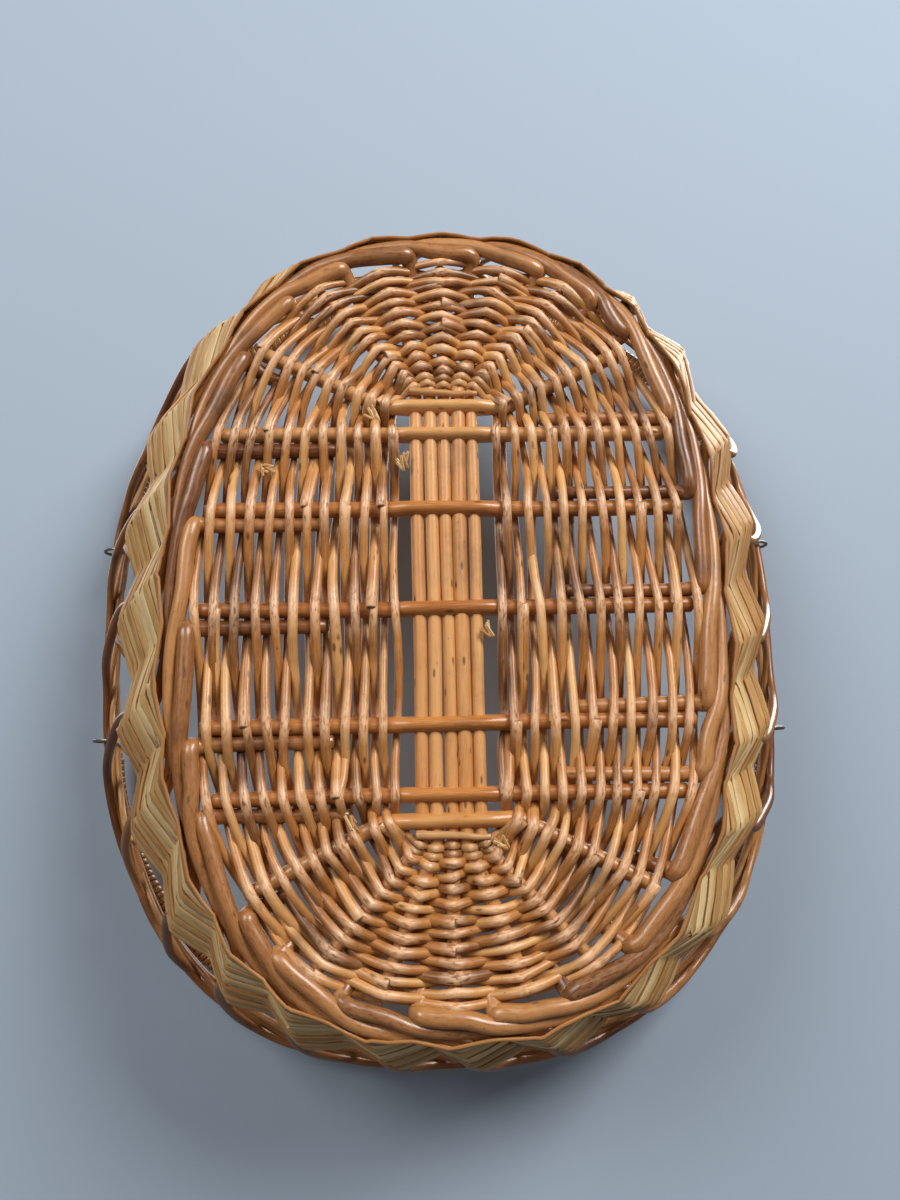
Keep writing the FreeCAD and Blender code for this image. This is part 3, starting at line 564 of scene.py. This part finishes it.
def woven(first, crossings, radius, distance, phase, spread):
    """Lines of rods that each pass a number of sticks, from their first stick on.

    Between two crossings the flat place runs straight and the height follows half a straight
    line and half a cosine. Outer rounds (spread near one) bow out to follow the oval. A bend
    is eased towards its neighbours.
    """
    spoke = (first[:, None] + np.arange(crossings)) % SPOKES
    flat = on_spoke(spoke, distance)
    side = 1 - 2 * ((spoke + phase[:, None]) % 2)
    reach = spoke_radius[spoke] + radius[:, ::len(STRIDE)] * (1 + HAIR_GAP)
    high = STICK_HEIGHT + side * reach
    s = STRIDE[None, None, :, None]
    run = flat[:, :-1, None] * (1 - s) + flat[:, 1:, None] * s
    run += (bulge[spoke[:, :-1]] * spread[:, None, None])[:, :, None] * 4 * s * (1 - s)
    lift = 0.5 * STRIDE + 0.5 * (1 - np.cos(math.pi * STRIDE)) / 2
    z = high[:, :-1, None] * (1 - lift) + high[:, 1:, None] * lift
    line = np.concatenate([run, z[..., None]], -1).reshape(len(first), -1, 3)
    end = np.concatenate([flat[:, -1], high[:, -1:]], -1)[:, None]
    line = np.concatenate([line, end], 1)
    eased = line.copy()
    eased[:, 1:-1] = (1 - 2 * EASE) * line[:, 1:-1] + EASE * (line[:, :-2] + line[:, 2:])
    # Mask of the pale bends, strongest at each stick: partly wear, partly a painted highlight.
    bend_wear_and_highlight = np.tile(np.exp(-((np.minimum(STRIDE, 1 - STRIDE)) / WEAR_AND_HIGHLIGHT_REACH) ** 2), crossings - 1)
    return eased, np.append(bend_wear_and_highlight, 1.0)


CROSSINGS = 14
rods = 2 * ROUNDS
row = np.repeat(np.arange(ROUNDS), 2)
first = (chance.integers(0, SPOKES, ROUNDS)[:, None] + [0, SPOKES // 2]).ravel()
count = (CROSSINGS - 1) * len(STRIDE) + 1
butt, tip = chance.uniform(2.6, 3.1, rods), chance.uniform(2.05, 2.4, rods)
radius = butt[:, None] + (tip - butt)[:, None] * np.linspace(0, 1, count) ** 0.8
distance = round_distance[row[:, None], (first[:, None] + np.arange(CROSSINGS)) % SPOKES]
END_SHIFT = 1.3  # a new rod starts beside the end of the last one
distance[:, 0] += END_SHIFT
distance[:, -1] -= END_SHIFT
weave_lines, weave_wear_and_highlight = woven(first, CROSSINGS, radius, distance, row, share[row, 0] ** 1.5)
bow = np.repeat(chance.normal(0, 0.9, (rods, CROSSINGS - 1, 3)), len(STRIDE), 1)
weave_lines[:, :-1] += bow * np.tile(np.sin(math.pi * STRIDE), CROSSINGS - 1)[:, None] * [1, 1, 0.4]
base_weave = carry("base_weave_rods", weave_lines, radius, radius * 0.92, sides=8,
                   wear_and_highlight=weave_wear_and_highlight * 1.25)

# %% [markdown]
# ## The ties at the ends of the slot
# Before the fine rods can start, thin split willow binds the five sticks where they spread.
# It is worked in pairs that cross between the sticks, so every stick shows a small arch.

# %% Ties
end_spokes = np.array([6, 18])
TIE_RODS, TIE_CROSSINGS = 8, 7
tie_first = np.repeat(end_spokes, TIE_RODS // 2)
tie_level = np.tile(np.repeat([0, 1], 2), 2)
tie_phase = np.tile([0, 1], TIE_RODS // 2)
tie_count = (TIE_CROSSINGS - 1) * len(STRIDE) + 1
tie_radius = np.full((TIE_RODS, tie_count), 1.75)
tie_spoke = (tie_first[:, None] + np.arange(TIE_CROSSINGS)) % SPOKES
tie_distance = np.where(spoke_radius[tie_spoke] == CROSS_RADIUS, 5.0, 2.6) \
    + tie_level[:, None] * 4.3 + (tie_phase[:, None] - 0.5) * 1.5
tie_lines, tie_wear_and_highlight = woven(tie_first, TIE_CROSSINGS, tie_radius, tie_distance, tie_phase,
                           np.zeros(TIE_RODS))
ties = carry("slath_ties", tie_lines, tie_radius * 1.15, tie_radius * 0.75, sides=8,
             wear_and_highlight=tie_wear_and_highlight * 0.8)
bar_ends = np.array([[[-19.0, -119.5], [0, -118.6], [18.0, -117.6]],
                     [[-18.0, 118.2], [0, 119.0], [19.0, 119.8]]])
tie_bars = carry("slath_tie_bars", wander(flat_line(bar_ends, 15, 4.3), 0.25),
                 np.linspace(2.3, 1.5, 15)[None], sides=10)
for piece, finish in ((base_weave, weaver_willow), (ties, tie_willow), (tie_bars, tie_willow)):
    piece.data.materials.append(finish)
    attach(piece, "basket")
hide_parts("base_weave")

# %% [markdown]
# ## The foot border and the side stakes
# Each border rod is pushed in beside a stick, bends at a knuckle and lies beside the weave
# as far as the next knuckle. There it passes behind the rod that starts, and past its second
# neighbour it turns up and becomes a side stake of the wall. It leans away over the straw
# and ends as one rod of the rim. That is one rod of willow, so here it is one line with a
# few control points, and the curve is a B-spline because willow does not bend sharply
# anywhere but at the knuckle.

# %% Knuckles, in the order that the border runs
ROD_RADIUS, INNER_TRACK = 4.4, 11.5
BESIDE_STICK = 8.55


def downstream(heading):
    """The way the border runs: clockwise seen from above."""
    return np.stack([heading[..., 1], -heading[..., 0]], -1)


side_heading = np.concatenate([cross_heading, cross_heading * FLIP_X])
side_origin = np.concatenate([right_knee, left_knee]) + downstream(side_heading) * BESIDE_STICK
steps = np.arange(6) - 2.5
fan_turn = math.pi / 2 - steps * FAN_STEP
fan_heading = np.stack([np.cos(fan_turn), np.sin(fan_turn)], -1)
fan_origin = np.stack([steps * LONG_PITCH, np.full(6, FAN_START)], -1)
insert_heading = np.concatenate([side_heading, fan_heading, fan_heading * FLIP_Y])
insert_origin = np.concatenate([side_origin, fan_origin, fan_origin * FLIP_Y])
FAN_INSERT, SIDE_INSERT, FAN_TUCK = 22.0, 72.0, 5.5
insert_length = np.where(np.abs(insert_heading[:, 1]) > 0.01, FAN_INSERT, SIDE_INSERT)
knuckle = meeting_angle(insert_origin, insert_heading, INNER_TRACK)
order = np.argsort(-knuckle)
knuckle, insert_heading, insert_length = knuckle[order], insert_heading[order], insert_length[order]
RODS = len(knuckle)
two_laps = np.concatenate([knuckle, knuckle - 2 * math.pi])
rod = np.arange(RODS)


def border_angle(progress):
    """Angle of every rod after a number of pitches from its own knuckle."""
    whole = int(progress)
    here, after = two_laps[rod + whole], two_laps[rod + whole + 1]
    return here + (after - here) * (progress - whole)


def border_stop(progress, height, inset=INNER_TRACK):
    """Place of every rod on the foot, a number of pitches after its own knuckle."""
    return beside_oval(border_angle(progress), -inset, height)


UP = 2.65
stake_angle = border_angle(UP)
gap = np.diff(np.append(stake_angle, stake_angle[0] - 2 * math.pi))
LEAN = 0.56
print(RODS, "border rods; stakes stand", (np.degrees(-gap)).min().round(1), "to",
      (np.degrees(-gap)).max().round(1), "degrees apart")

# %% Bend the rods
BEHIND_BAND, HOOP_INSET = 4.9, 5.2
knee_place = border_stop(0.0, STICK_HEIGHT)
inward = np.concatenate([insert_heading, np.zeros((RODS, 1))], -1)
drop = np.array([0, 0, 1.0])
tuck = np.where(insert_length == FAN_INSERT, FAN_TUCK, 0.0)[:, None] * drop
stops = [knee_place - inward * insert_length[:, None] + tuck, knee_place - inward * 14 + tuck,
         knee_place - inward * 4 + tuck * 0.2 - drop * 0.6,
         knee_place - drop * 2.0 - inward * 0.5,
         knee_place - drop * 4.2, border_stop(0.1, 4.4, 11.2), border_stop(0.3, 3.9, 10.8),
         border_stop(0.65, 3.9, 9.8), border_stop(0.95, 4.9, 6.2), border_stop(1.3, 7.4, 3.4),
         border_stop(1.8, 9.6, 1.6), border_stop(2.3, 11.8, 1.0), wall(stake_angle, 17.5, 5.0),
         wall(stake_angle, 24.0, 5.2), wall(stake_angle, 40.0, BEHIND_BAND),
         wall(stake_angle, 54.0, BEHIND_BAND),
         wall(stake_angle + gap * LEAN * 0.3, 74.0, BEHIND_BAND - 0.6),
         wall(stake_angle + gap * LEAN * 0.7, 100.0, 4.2),
         wall(stake_angle + gap * LEAN * 1.05, 117.5, 3.4),
         wall(stake_angle + gap * (LEAN + 0.45), 122.4, 2.6),
         wall(stake_angle + gap * (LEAN + 0.95), 123.4, 2.2),
         wall(stake_angle + gap * (LEAN + 1.4), 124.6, 3.6)]
controls = np.stack(stops, 1)
jitter = chance.normal(0, 0.6, controls.shape) * [1, 1, 0.3]
jitter[:, 15:] *= 1.6
border_lines = bent_through(controls + jitter, 121)
border_lines[..., 2] = np.maximum(border_lines[..., 2], ROD_RADIUS)
along = np.linspace(0, 1, 121)
thin = np.interp(along, [0, 0.12, 0.3, 0.5, 0.66, 0.9, 1],
                 [3.7, 4.6, 4.5, 3.6, 2.8, 2.3, 1.9])
border_radius = thin * (1 + 0.06 * chance.normal(size=(RODS, 1)))
# Pale at the knuckle, partly wear and partly a painted highlight, and a little paler along the
# foot, where it is worn.
knuckle_wear_and_highlight = np.exp(-((along - 0.15) / 0.03) ** 2) * 0.55 + (along > 0.2) * (along < 0.5) * 0.22
border = carry("border_and_side_stakes", border_lines, border_radius, sides=10,
               wear_and_highlight=knuckle_wear_and_highlight[None] * chance.uniform(0.5, 1.2, (RODS, 1)))
border.data.materials.append(border_willow)
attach(border, "basket")
QUARTERS = ("front", "right", "rear", "left")
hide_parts(*[f"foot_border_rod_{i + 1:02d}" for i in range(RODS)],
            *[f"side_stakes_{q}" for q in QUARTERS])

# %% [markdown]
# ## Bye-stakes and rim
# A second set of thinner stakes stands behind the valleys of the straw and leans the other
# way, so the two sets cross in long narrow Xs. Above them the rods are laid down and rolled
# round each other. The roll is several strands wound about one line, each a sine and a
# cosine away from it.

# %% Bye-stakes
BYE_INSET = 14.5
bye_angle = stake_angle + gap / 2
bye_stops = [wall(bye_angle, 13.5, BYE_INSET - 4), wall(bye_angle, 24.0, BYE_INSET - 1),
             wall(bye_angle, 40.0, BYE_INSET - 1), wall(bye_angle, 56.0, BYE_INSET - 3),
             wall(bye_angle - gap * LEAN * 0.4, 80.0, BYE_INSET - 4.5),
             wall(bye_angle - gap * LEAN * 0.75, 103.0, 8.6),
             wall(bye_angle - gap * LEAN * 1.1, 118.0, 7.6),
             wall(bye_angle - gap * (LEAN + 0.5), 122.0, 7.8),
             wall(bye_angle - gap * (LEAN + 0.95), 124.0, 8.0),
             wall(bye_angle - gap * (LEAN + 1.3), 125.4, 6.4)]
bye_controls = np.stack(bye_stops, 1)
bye_lines = bent_through(bye_controls + chance.normal(0, 0.8, bye_controls.shape) * [1, 1, 0.3],
                         55)
bye = carry("bye_stakes", bye_lines,
            np.linspace(2.4, 1.7, 55) * (1 + 0.08 * chance.normal(size=(RODS, 1))), sides=8)
bye.data.materials.append(stake_willow)
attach(bye, "basket")
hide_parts(*[f"bye_stakes_{q}" for q in QUARTERS])

# %% Rolled rim
STRANDS, RIM_SAMPLES, TWISTS = 5, 360, 7
RIM_MIDDLE = RIM_TOP - HOOP_INSET
rim_angle = np.linspace(0, 2 * math.pi, RIM_SAMPLES, endpoint=False)[None]
phase = 2 * math.pi * np.arange(STRANDS)[:, None] / STRANDS + TWISTS * rim_angle
OFF_LINE, STRAND_RADIUS = 2.9, 2.2
ripple = 0.35 * np.sin(13 * rim_angle + 9 * chance.random((STRANDS, 1)))
rim_lines = wall(rim_angle, RIM_MIDDLE, HOOP_INSET + np.cos(phase) * OFF_LINE + ripple)
rim_lines[..., 2] += np.sin(phase) * OFF_LINE
rim = carry("rolled_rim", rim_lines,
            STRAND_RADIUS * (1 + 0.1 * np.sin(9 * rim_angle + 5 * chance.random((STRANDS, 1)))),
            sides=8, closed=True)
rim.data.materials.append(stake_willow)
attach(rim, "basket")
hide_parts("rim_hoop")

# %% [markdown]
# ## The straw band
# Flat straws lie edge to edge round the wall. At each side stake they fold outwards and
# half way to the next they fold in behind it, so the band is a row of pleats. Each straw is
# a flat section on a zigzag line, and its folds sit a little farther on than those of the
# straw below, which is what makes the pleats slant.

# %% Straw strands
STRAWS, BAND_LOW, BAND_HIGH = 10, 4.5, 47.0
PLEAT, FOLD_SLANT = 7.4, 0.4
FOLDS = np.array([0.0, 0.06, 0.25, 0.44, 0.5, 0.56, 0.75, 0.94])
DEPTH = np.array([0.0, 0.1, 0.5, 0.9, 1.0, 0.9, 0.5, 0.1])
straw = np.arange(STRAWS)
rise = (straw + 0.5) / STRAWS
straw_height = BAND_LOW + (BAND_HIGH - BAND_LOW) * rise
pleat_start = np.append(stake_angle, stake_angle[0] - 2 * math.pi)


def band_angle(pitches):
    """Angle at a number of pleats round the band, measured between the side stakes."""
    lap, inside = np.divmod(pitches, RODS)
    return np.interp(inside, np.arange(RODS + 1), pleat_start) - lap * 2 * math.pi


pleats = (np.arange(RODS)[:, None] + FOLDS).ravel()[None]
slant = FOLD_SLANT * (rise - 0.5)[:, None]
loose = np.repeat(chance.normal(0, 0.02, (STRAWS, RODS * 2)), len(FOLDS) // 2, 1)
angle = band_angle(pleats + slant + loose)
FULL_FOLD_HEIGHT, LOW_FOLD = 16.0, 0.3
fold = np.interp(straw_height, [BAND_LOW, FULL_FOLD_HEIGHT], [LOW_FOLD, 1.0])[:, None]
depth = PLEAT * fold * np.tile(DEPTH, RODS)[None] + 0.5 + chance.normal(0, 0.12, angle.shape)
depth += 0.5 * (straw % 2)[:, None]
straw_lines = wall(angle, straw_height[:, None], depth)
across = np.gradient(straw_lines, axis=0)
heading = unit(np.roll(straw_lines, -1, 1) - np.roll(straw_lines, 1, 1))
across -= heading * np.sum(across * heading, -1, keepdims=True)
STRAW_OVERLAP = 1.06
straw_wide = 0.5 * STRAW_OVERLAP * np.linalg.norm(across, axis=-1)
band = carry("straw_band_strands", straw_lines, 0.9, straw_wide, up=unit(across), sides=12,
             closed=True, squareness=0.5)


# %% [markdown]
# Straw is flat, pale and silky. Its fine ribs run along it, each strand is darker along both
# edges, and old straw goes from cream to honey in patches.

# %% Straw, cane and metal finishes
def dry_stem(name, dark, middle, pale, girth, roughness, coat, ribs, patches, bump=0.0002):
    """Straw or split cane: long ribs, darker along both edges where two lie together, and patches.
    """
    material = bpy.data.materials.new(name)
    material.use_nodes = True
    tree = material.node_tree
    shader = tree.nodes["Principled BSDF"]
    place, tint = rod_place(tree, girth)
    grain = node(tree, "Group", {"Place": place, "Tint": tint, "Dark": dark,
                                 "Middle": middle, "Pale": pale, "Scars": ribs},
                 node_tree=bpy.data.node_groups["Willow grain"])
    uv = node(tree, "SeparateXYZ", {0: node(tree, "UVMap", uv_map="rod").outputs[0]}).outputs
    # Darker along both long edges of each strand or turn of cane, where neighbours meet.
    edge = calc(tree, "ABSOLUTE", calc(tree, "SINE", calc(tree, "MULTIPLY", uv[1],
                                                          2 * math.pi)))
    colour = mixed(tree, span(tree, edge, 0.8, 0.98, 0.0, 0.85), grain.outputs["Color"], dark)
    patch = noise(tree, node(tree, "TexCoord").outputs["Object"], 9.0, 3.0)
    colour = mixed(tree, span(tree, patch, 0.5, 0.72, 0.0, patches), colour, dark)
    tree.links.new(colour, shader.inputs["Base Color"])
    shader.inputs["Roughness"].default_value = roughness
    shader.inputs["Coat Weight"].default_value = coat
    shader.inputs["Coat Roughness"].default_value = 0.25
    bumped = node(tree, "Bump", {"Strength": 0.5, "Distance": bump,
                                 "Height": grain.outputs["Height"]})
    tree.links.new(bumped.outputs[0], shader.inputs["Normal"])
    return material


straw_finish = dry_stem("straw", srgb(156, 98, 42), srgb(218, 172, 106), srgb(244, 216, 160),
                        0.0025, 0.5, 0.1, 0.3, 0.45)
cane_finish = dry_stem("cane", srgb(150, 96, 46), srgb(196, 146, 88), srgb(222, 180, 122),
                       0.0016, 0.3, 0.5, 0.2, 0.2)
band.data.materials.append(straw_finish)
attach(band, "basket")
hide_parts("straw_band")

# %% [markdown]
# ## Frayed ends
# A few rods split where they were trimmed, and short pale fibres stand out from the base.
# Each tuft is a handful of straight fibres from one place, leaning much the same way.

# %% Tufts of fibre
TUFTS = np.array([[-37.0, -103], [-51, 109], [27, 125], [-22, -76], [-99, -77], [22, 18]])
FIBRES = 7
root = np.repeat(TUFTS, FIBRES, 0) + chance.normal(0, 1.2, (len(TUFTS) * FIBRES, 2))
lean = np.repeat(chance.uniform(0, 2 * math.pi, len(TUFTS)), FIBRES)
lean = lean + chance.normal(0, 0.4, lean.shape)
reach = np.linspace(0, 1, 5)[None, :, None] * chance.uniform(3, 8, lean.shape)[:, None, None]
fibre_heading = np.stack([np.cos(lean), np.sin(lean)], -1)[:, None]
fibre_lines = np.concatenate([root[:, None] + reach * fibre_heading, 4.0 - 0.25 * reach], -1)
FIBRE_HALF_WIDE, FIBRE_HALF_THICK = 0.8, 0.4
tufts = carry("split_tufts", fibre_lines, FIBRE_HALF_WIDE, FIBRE_HALF_THICK, sides=6)
tufts.data.materials.append(straw_finish)
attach(tufts, "basket")

# %% [markdown]
# ## Handles
# Each handle is a bent rod bound with flat cane, wound tightly with a hair of a gap between
# turns. The binding is a long flat section carried on a screw line: it goes round the bar
# while the bar goes along half an ellipse.

# %% Cane binding
PIVOT_ACROSS, PIVOT_SPREAD, PIVOT_HEIGHT, HANDLE_REACH = 212.29, 62.0, 136.3, 186.0
BAR_RADIUS, CANE_PITCH, CANE_HALF_WIDE, CANE_HALF_THICK = 4.5, 3.95, 1.82, 0.55
SETBACK, TURN_SAMPLES = math.radians(3.4), 14
swing = np.linspace(SETBACK, math.pi - SETBACK, 4001)
bar = np.stack([PIVOT_ACROSS * np.cos(swing), HANDLE_REACH * np.sin(swing)], -1)
bar_run = np.concatenate([[0], np.cumsum(np.linalg.norm(np.diff(bar, axis=0), axis=-1))])
turns = bar_run[-1] / CANE_PITCH
screw = np.linspace(0, turns, int(turns * TURN_SAMPLES))
at = np.interp(screw * CANE_PITCH, bar_run, swing)
bar_line = np.stack([PIVOT_ACROSS * np.cos(at), HANDLE_REACH * np.sin(at), 0 * at], -1)
bar_heading = unit(np.stack([-PIVOT_ACROSS * np.sin(at), HANDLE_REACH * np.cos(at), 0 * at], -1))
bar_side = np.cross(bar_heading, [0, 0, 1.0])
round_bar = (bar_side * np.cos(screw * 2 * math.pi)[:, None]
             + np.array([0, 0, 1.0]) * np.sin(screw * 2 * math.pi)[:, None])
cane_line = bar_line + round_bar * (BAR_RADIUS + CANE_HALF_THICK)
cane_line = cane_line + bar_heading * chance.normal(0, 0.06, (len(screw), 1))
for end_name, end in (("front", -1), ("rear", 1)):
    spin = np.array([end, end, 1.0])
    line = cane_line * spin + [0, end * PIVOT_SPREAD, PIVOT_HEIGHT]
    binding = carry(end_name + "_handle_binding", line[None], CANE_HALF_WIDE, CANE_HALF_THICK,
                    up=(round_bar * spin)[None], sides=6, squareness=0.8)
    binding.data.materials.append(cane_finish)
    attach(binding, end_name + "_handle")
    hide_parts(end_name + "_handle_cane_wrap")

# %% [markdown]
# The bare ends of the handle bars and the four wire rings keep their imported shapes. They
# only need finishes: the grain of the bar in object coordinates, and dull zinc wire with a
# little rust.

# %% Bars and rings
bar_finish = bpy.data.materials.new("handle_bar_willow")
bar_finish.use_nodes = True
tree = bar_finish.node_tree
object_place = node(tree, "TexCoord").outputs["Object"]
grain = node(tree, "Group", {"Place": object_place, "Tint": 0.4, "Dark": srgb(120, 72, 34),
                             "Middle": srgb(170, 114, 62), "Pale": srgb(198, 146, 92)},
             node_tree=bpy.data.node_groups["Willow grain"])
bar_shader = tree.nodes["Principled BSDF"]
tree.links.new(grain.outputs["Color"], bar_shader.inputs["Base Color"])
tree.links.new(span(tree, grain.outputs["Gloss"], 0.0, 1.0, 0.3, 0.5),
               bar_shader.inputs["Roughness"])

wire_finish = bpy.data.materials.new("ring_wire")
wire_finish.use_nodes = True
tree = wire_finish.node_tree
object_place = node(tree, "TexCoord").outputs["Object"]
rust = span(tree, noise(tree, object_place, 420.0, 4.0, 0.6), 0.55, 0.7)
wire_shader = tree.nodes["Principled BSDF"]
tree.links.new(mixed(tree, rust, srgb(150, 154, 142), srgb(112, 88, 62)),
               wire_shader.inputs["Base Color"])
tree.links.new(calc(tree, "MULTIPLY_ADD", rust, 0.4, 0.34), wire_shader.inputs["Roughness"])
tree.links.new(calc(tree, "MULTIPLY_ADD", rust, -0.7, 0.9), wire_shader.inputs["Metallic"])
scratched = node(tree, "Bump", {"Strength": 0.4, "Distance": 0.0001, "Height": rust})
tree.links.new(scratched.outputs[0], wire_shader.inputs["Normal"])
for name, finish in [(f"{end}_handle_core", bar_finish) for end in ("front", "rear")] + \
        [(f"{end}_{side}_ring", wire_finish) for end in ("front", "rear")
         for side in ("right", "left")]:
    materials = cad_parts[name].data.materials
    if len(materials):
        for index in range(len(materials)):
            materials[index] = finish
    else:
        materials.append(finish)
print("bars and rings finished")

# %% [markdown]
# ## The camera
# The basket is looked at from straight below and a little from its front, from half a metre,
# through a wide lens. The camera's turn is kept as a rotation vector.

# %% Camera
LENS = 27.0
LOOK_TURN = np.radians([11.7, -2.1, 1.0])
LOOK_SHIFT = Vector((-0.9, -0.5, 470.0)) * MM
turn = Matrix.Rotation(float(np.linalg.norm(LOOK_TURN)), 3, Vector(LOOK_TURN).normalized())
flip_y, flip_z = Matrix.Diagonal((1, -1, 1)), Matrix.Diagonal((1, 1, -1))
to_camera = flip_z @ turn @ flip_y
camera_data = bpy.data.cameras.new("camera")
camera_data.lens = LENS
camera_data.sensor_width = 36.0
camera_data.clip_start = 0.02
camera = bpy.data.objects.new("camera", camera_data)
bpy.context.scene.collection.objects.link(camera)
back = to_camera.transposed()
camera.matrix_world = Matrix.Translation(-(back @ (flip_z @ LOOK_SHIFT))) @ back.to_4x4()
bpy.context.scene.camera = camera
print("camera at", tuple(round(v, 3) for v in camera.matrix_world.translation))

# %% [markdown]
# ## Floor, backdrop and light
# The camera is below the basket, so the floor would hide it. The floor shows only from
# above, and a pale sheet over the rim shows only from below, in the place of a wall behind
# the basket. Neither stops any light. Both are plain and pale.


# %% Stage
SHEET_HALF = 7.0


def one_sided(name, height, facing, colour):
    """Large square seen from one side only, that casts no shadow and bounces no light."""
    mesh = bpy.data.meshes.new(name)
    corners = [(x * SHEET_HALF, y * SHEET_HALF, height)
               for x, y in ((-1, -1), (1, -1), (1, 1), (-1, 1))]
    mesh.from_pydata(corners, [], [(0, 1, 2, 3) if facing > 0 else (3, 2, 1, 0)])
    sheet = bpy.data.objects.new(name, mesh)
    bpy.context.scene.collection.objects.link(sheet)
    material = bpy.data.materials.new(name)
    material.use_nodes = True
    tree = material.node_tree
    shader = tree.nodes["Principled BSDF"]
    shader.inputs["Base Color"].default_value = colour
    shader.inputs["Roughness"].default_value = 0.9
    clear = node(tree, "BsdfTransparent")
    seen = node(tree, "MixShader", {0: node(tree, "NewGeometry").outputs["Backfacing"],
                                    1: shader.outputs[0], 2: clear.outputs[0]})
    tree.links.new(seen.outputs[0], tree.nodes["Material Output"].inputs["Surface"])
    mesh.materials.append(material)
    sheet.visible_shadow = sheet.visible_diffuse = sheet.visible_glossy = False


FLOOR_GAP, BACKDROP_GAP = 0.0005, 0.012
one_sided("floor", -FLOOR_GAP, 1, srgb(232, 232, 230))
one_sided("backdrop", float(cad_high.z) + BACKDROP_GAP, -1, srgb(162, 177, 194))

world = bpy.data.worlds.new("studio")
bpy.context.scene.world = world
world.use_nodes = True
sky = world.node_tree.nodes["Background"].inputs
sky["Color"].default_value = (0.96, 0.97, 1.0, 1.0)
sky["Strength"].default_value = 0.12


BASKET_MIDDLE = Vector((0, 0, 0.05))
WINDOW_WHITE, SKY_WHITE = (1.0, 0.98, 0.95), (0.92, 0.96, 1.0)


def soft_light(name, place, size, power, colour):
    """Square soft light that faces the middle of the basket."""
    data = bpy.data.lights.new(name, "AREA")
    data.size, data.energy, data.color = size, power, colour
    light = bpy.data.objects.new(name, data)
    bpy.context.scene.collection.objects.link(light)
    light.location = place
    light.rotation_mode = "QUATERNION"
    light.rotation_quaternion = (BASKET_MIDDLE - Vector(place)).to_track_quat("-Z", "Y")


soft_light("window_below", (1.0, -1.1, -1.35), 0.8, 39.0, WINDOW_WHITE)
soft_light("fill_below", (-1.1, -0.9, -1.5), 0.9, 22.0, WINDOW_WHITE)
soft_light("window_above", (1.3, -1.5, 1.35), 1.2, 30.0, WINDOW_WHITE)
soft_light("fill_above", (-1.1, -1.0, 1.6), 1.4, 9.0, SKY_WHITE)
bpy.context.scene.view_settings.view_transform = "Standard"
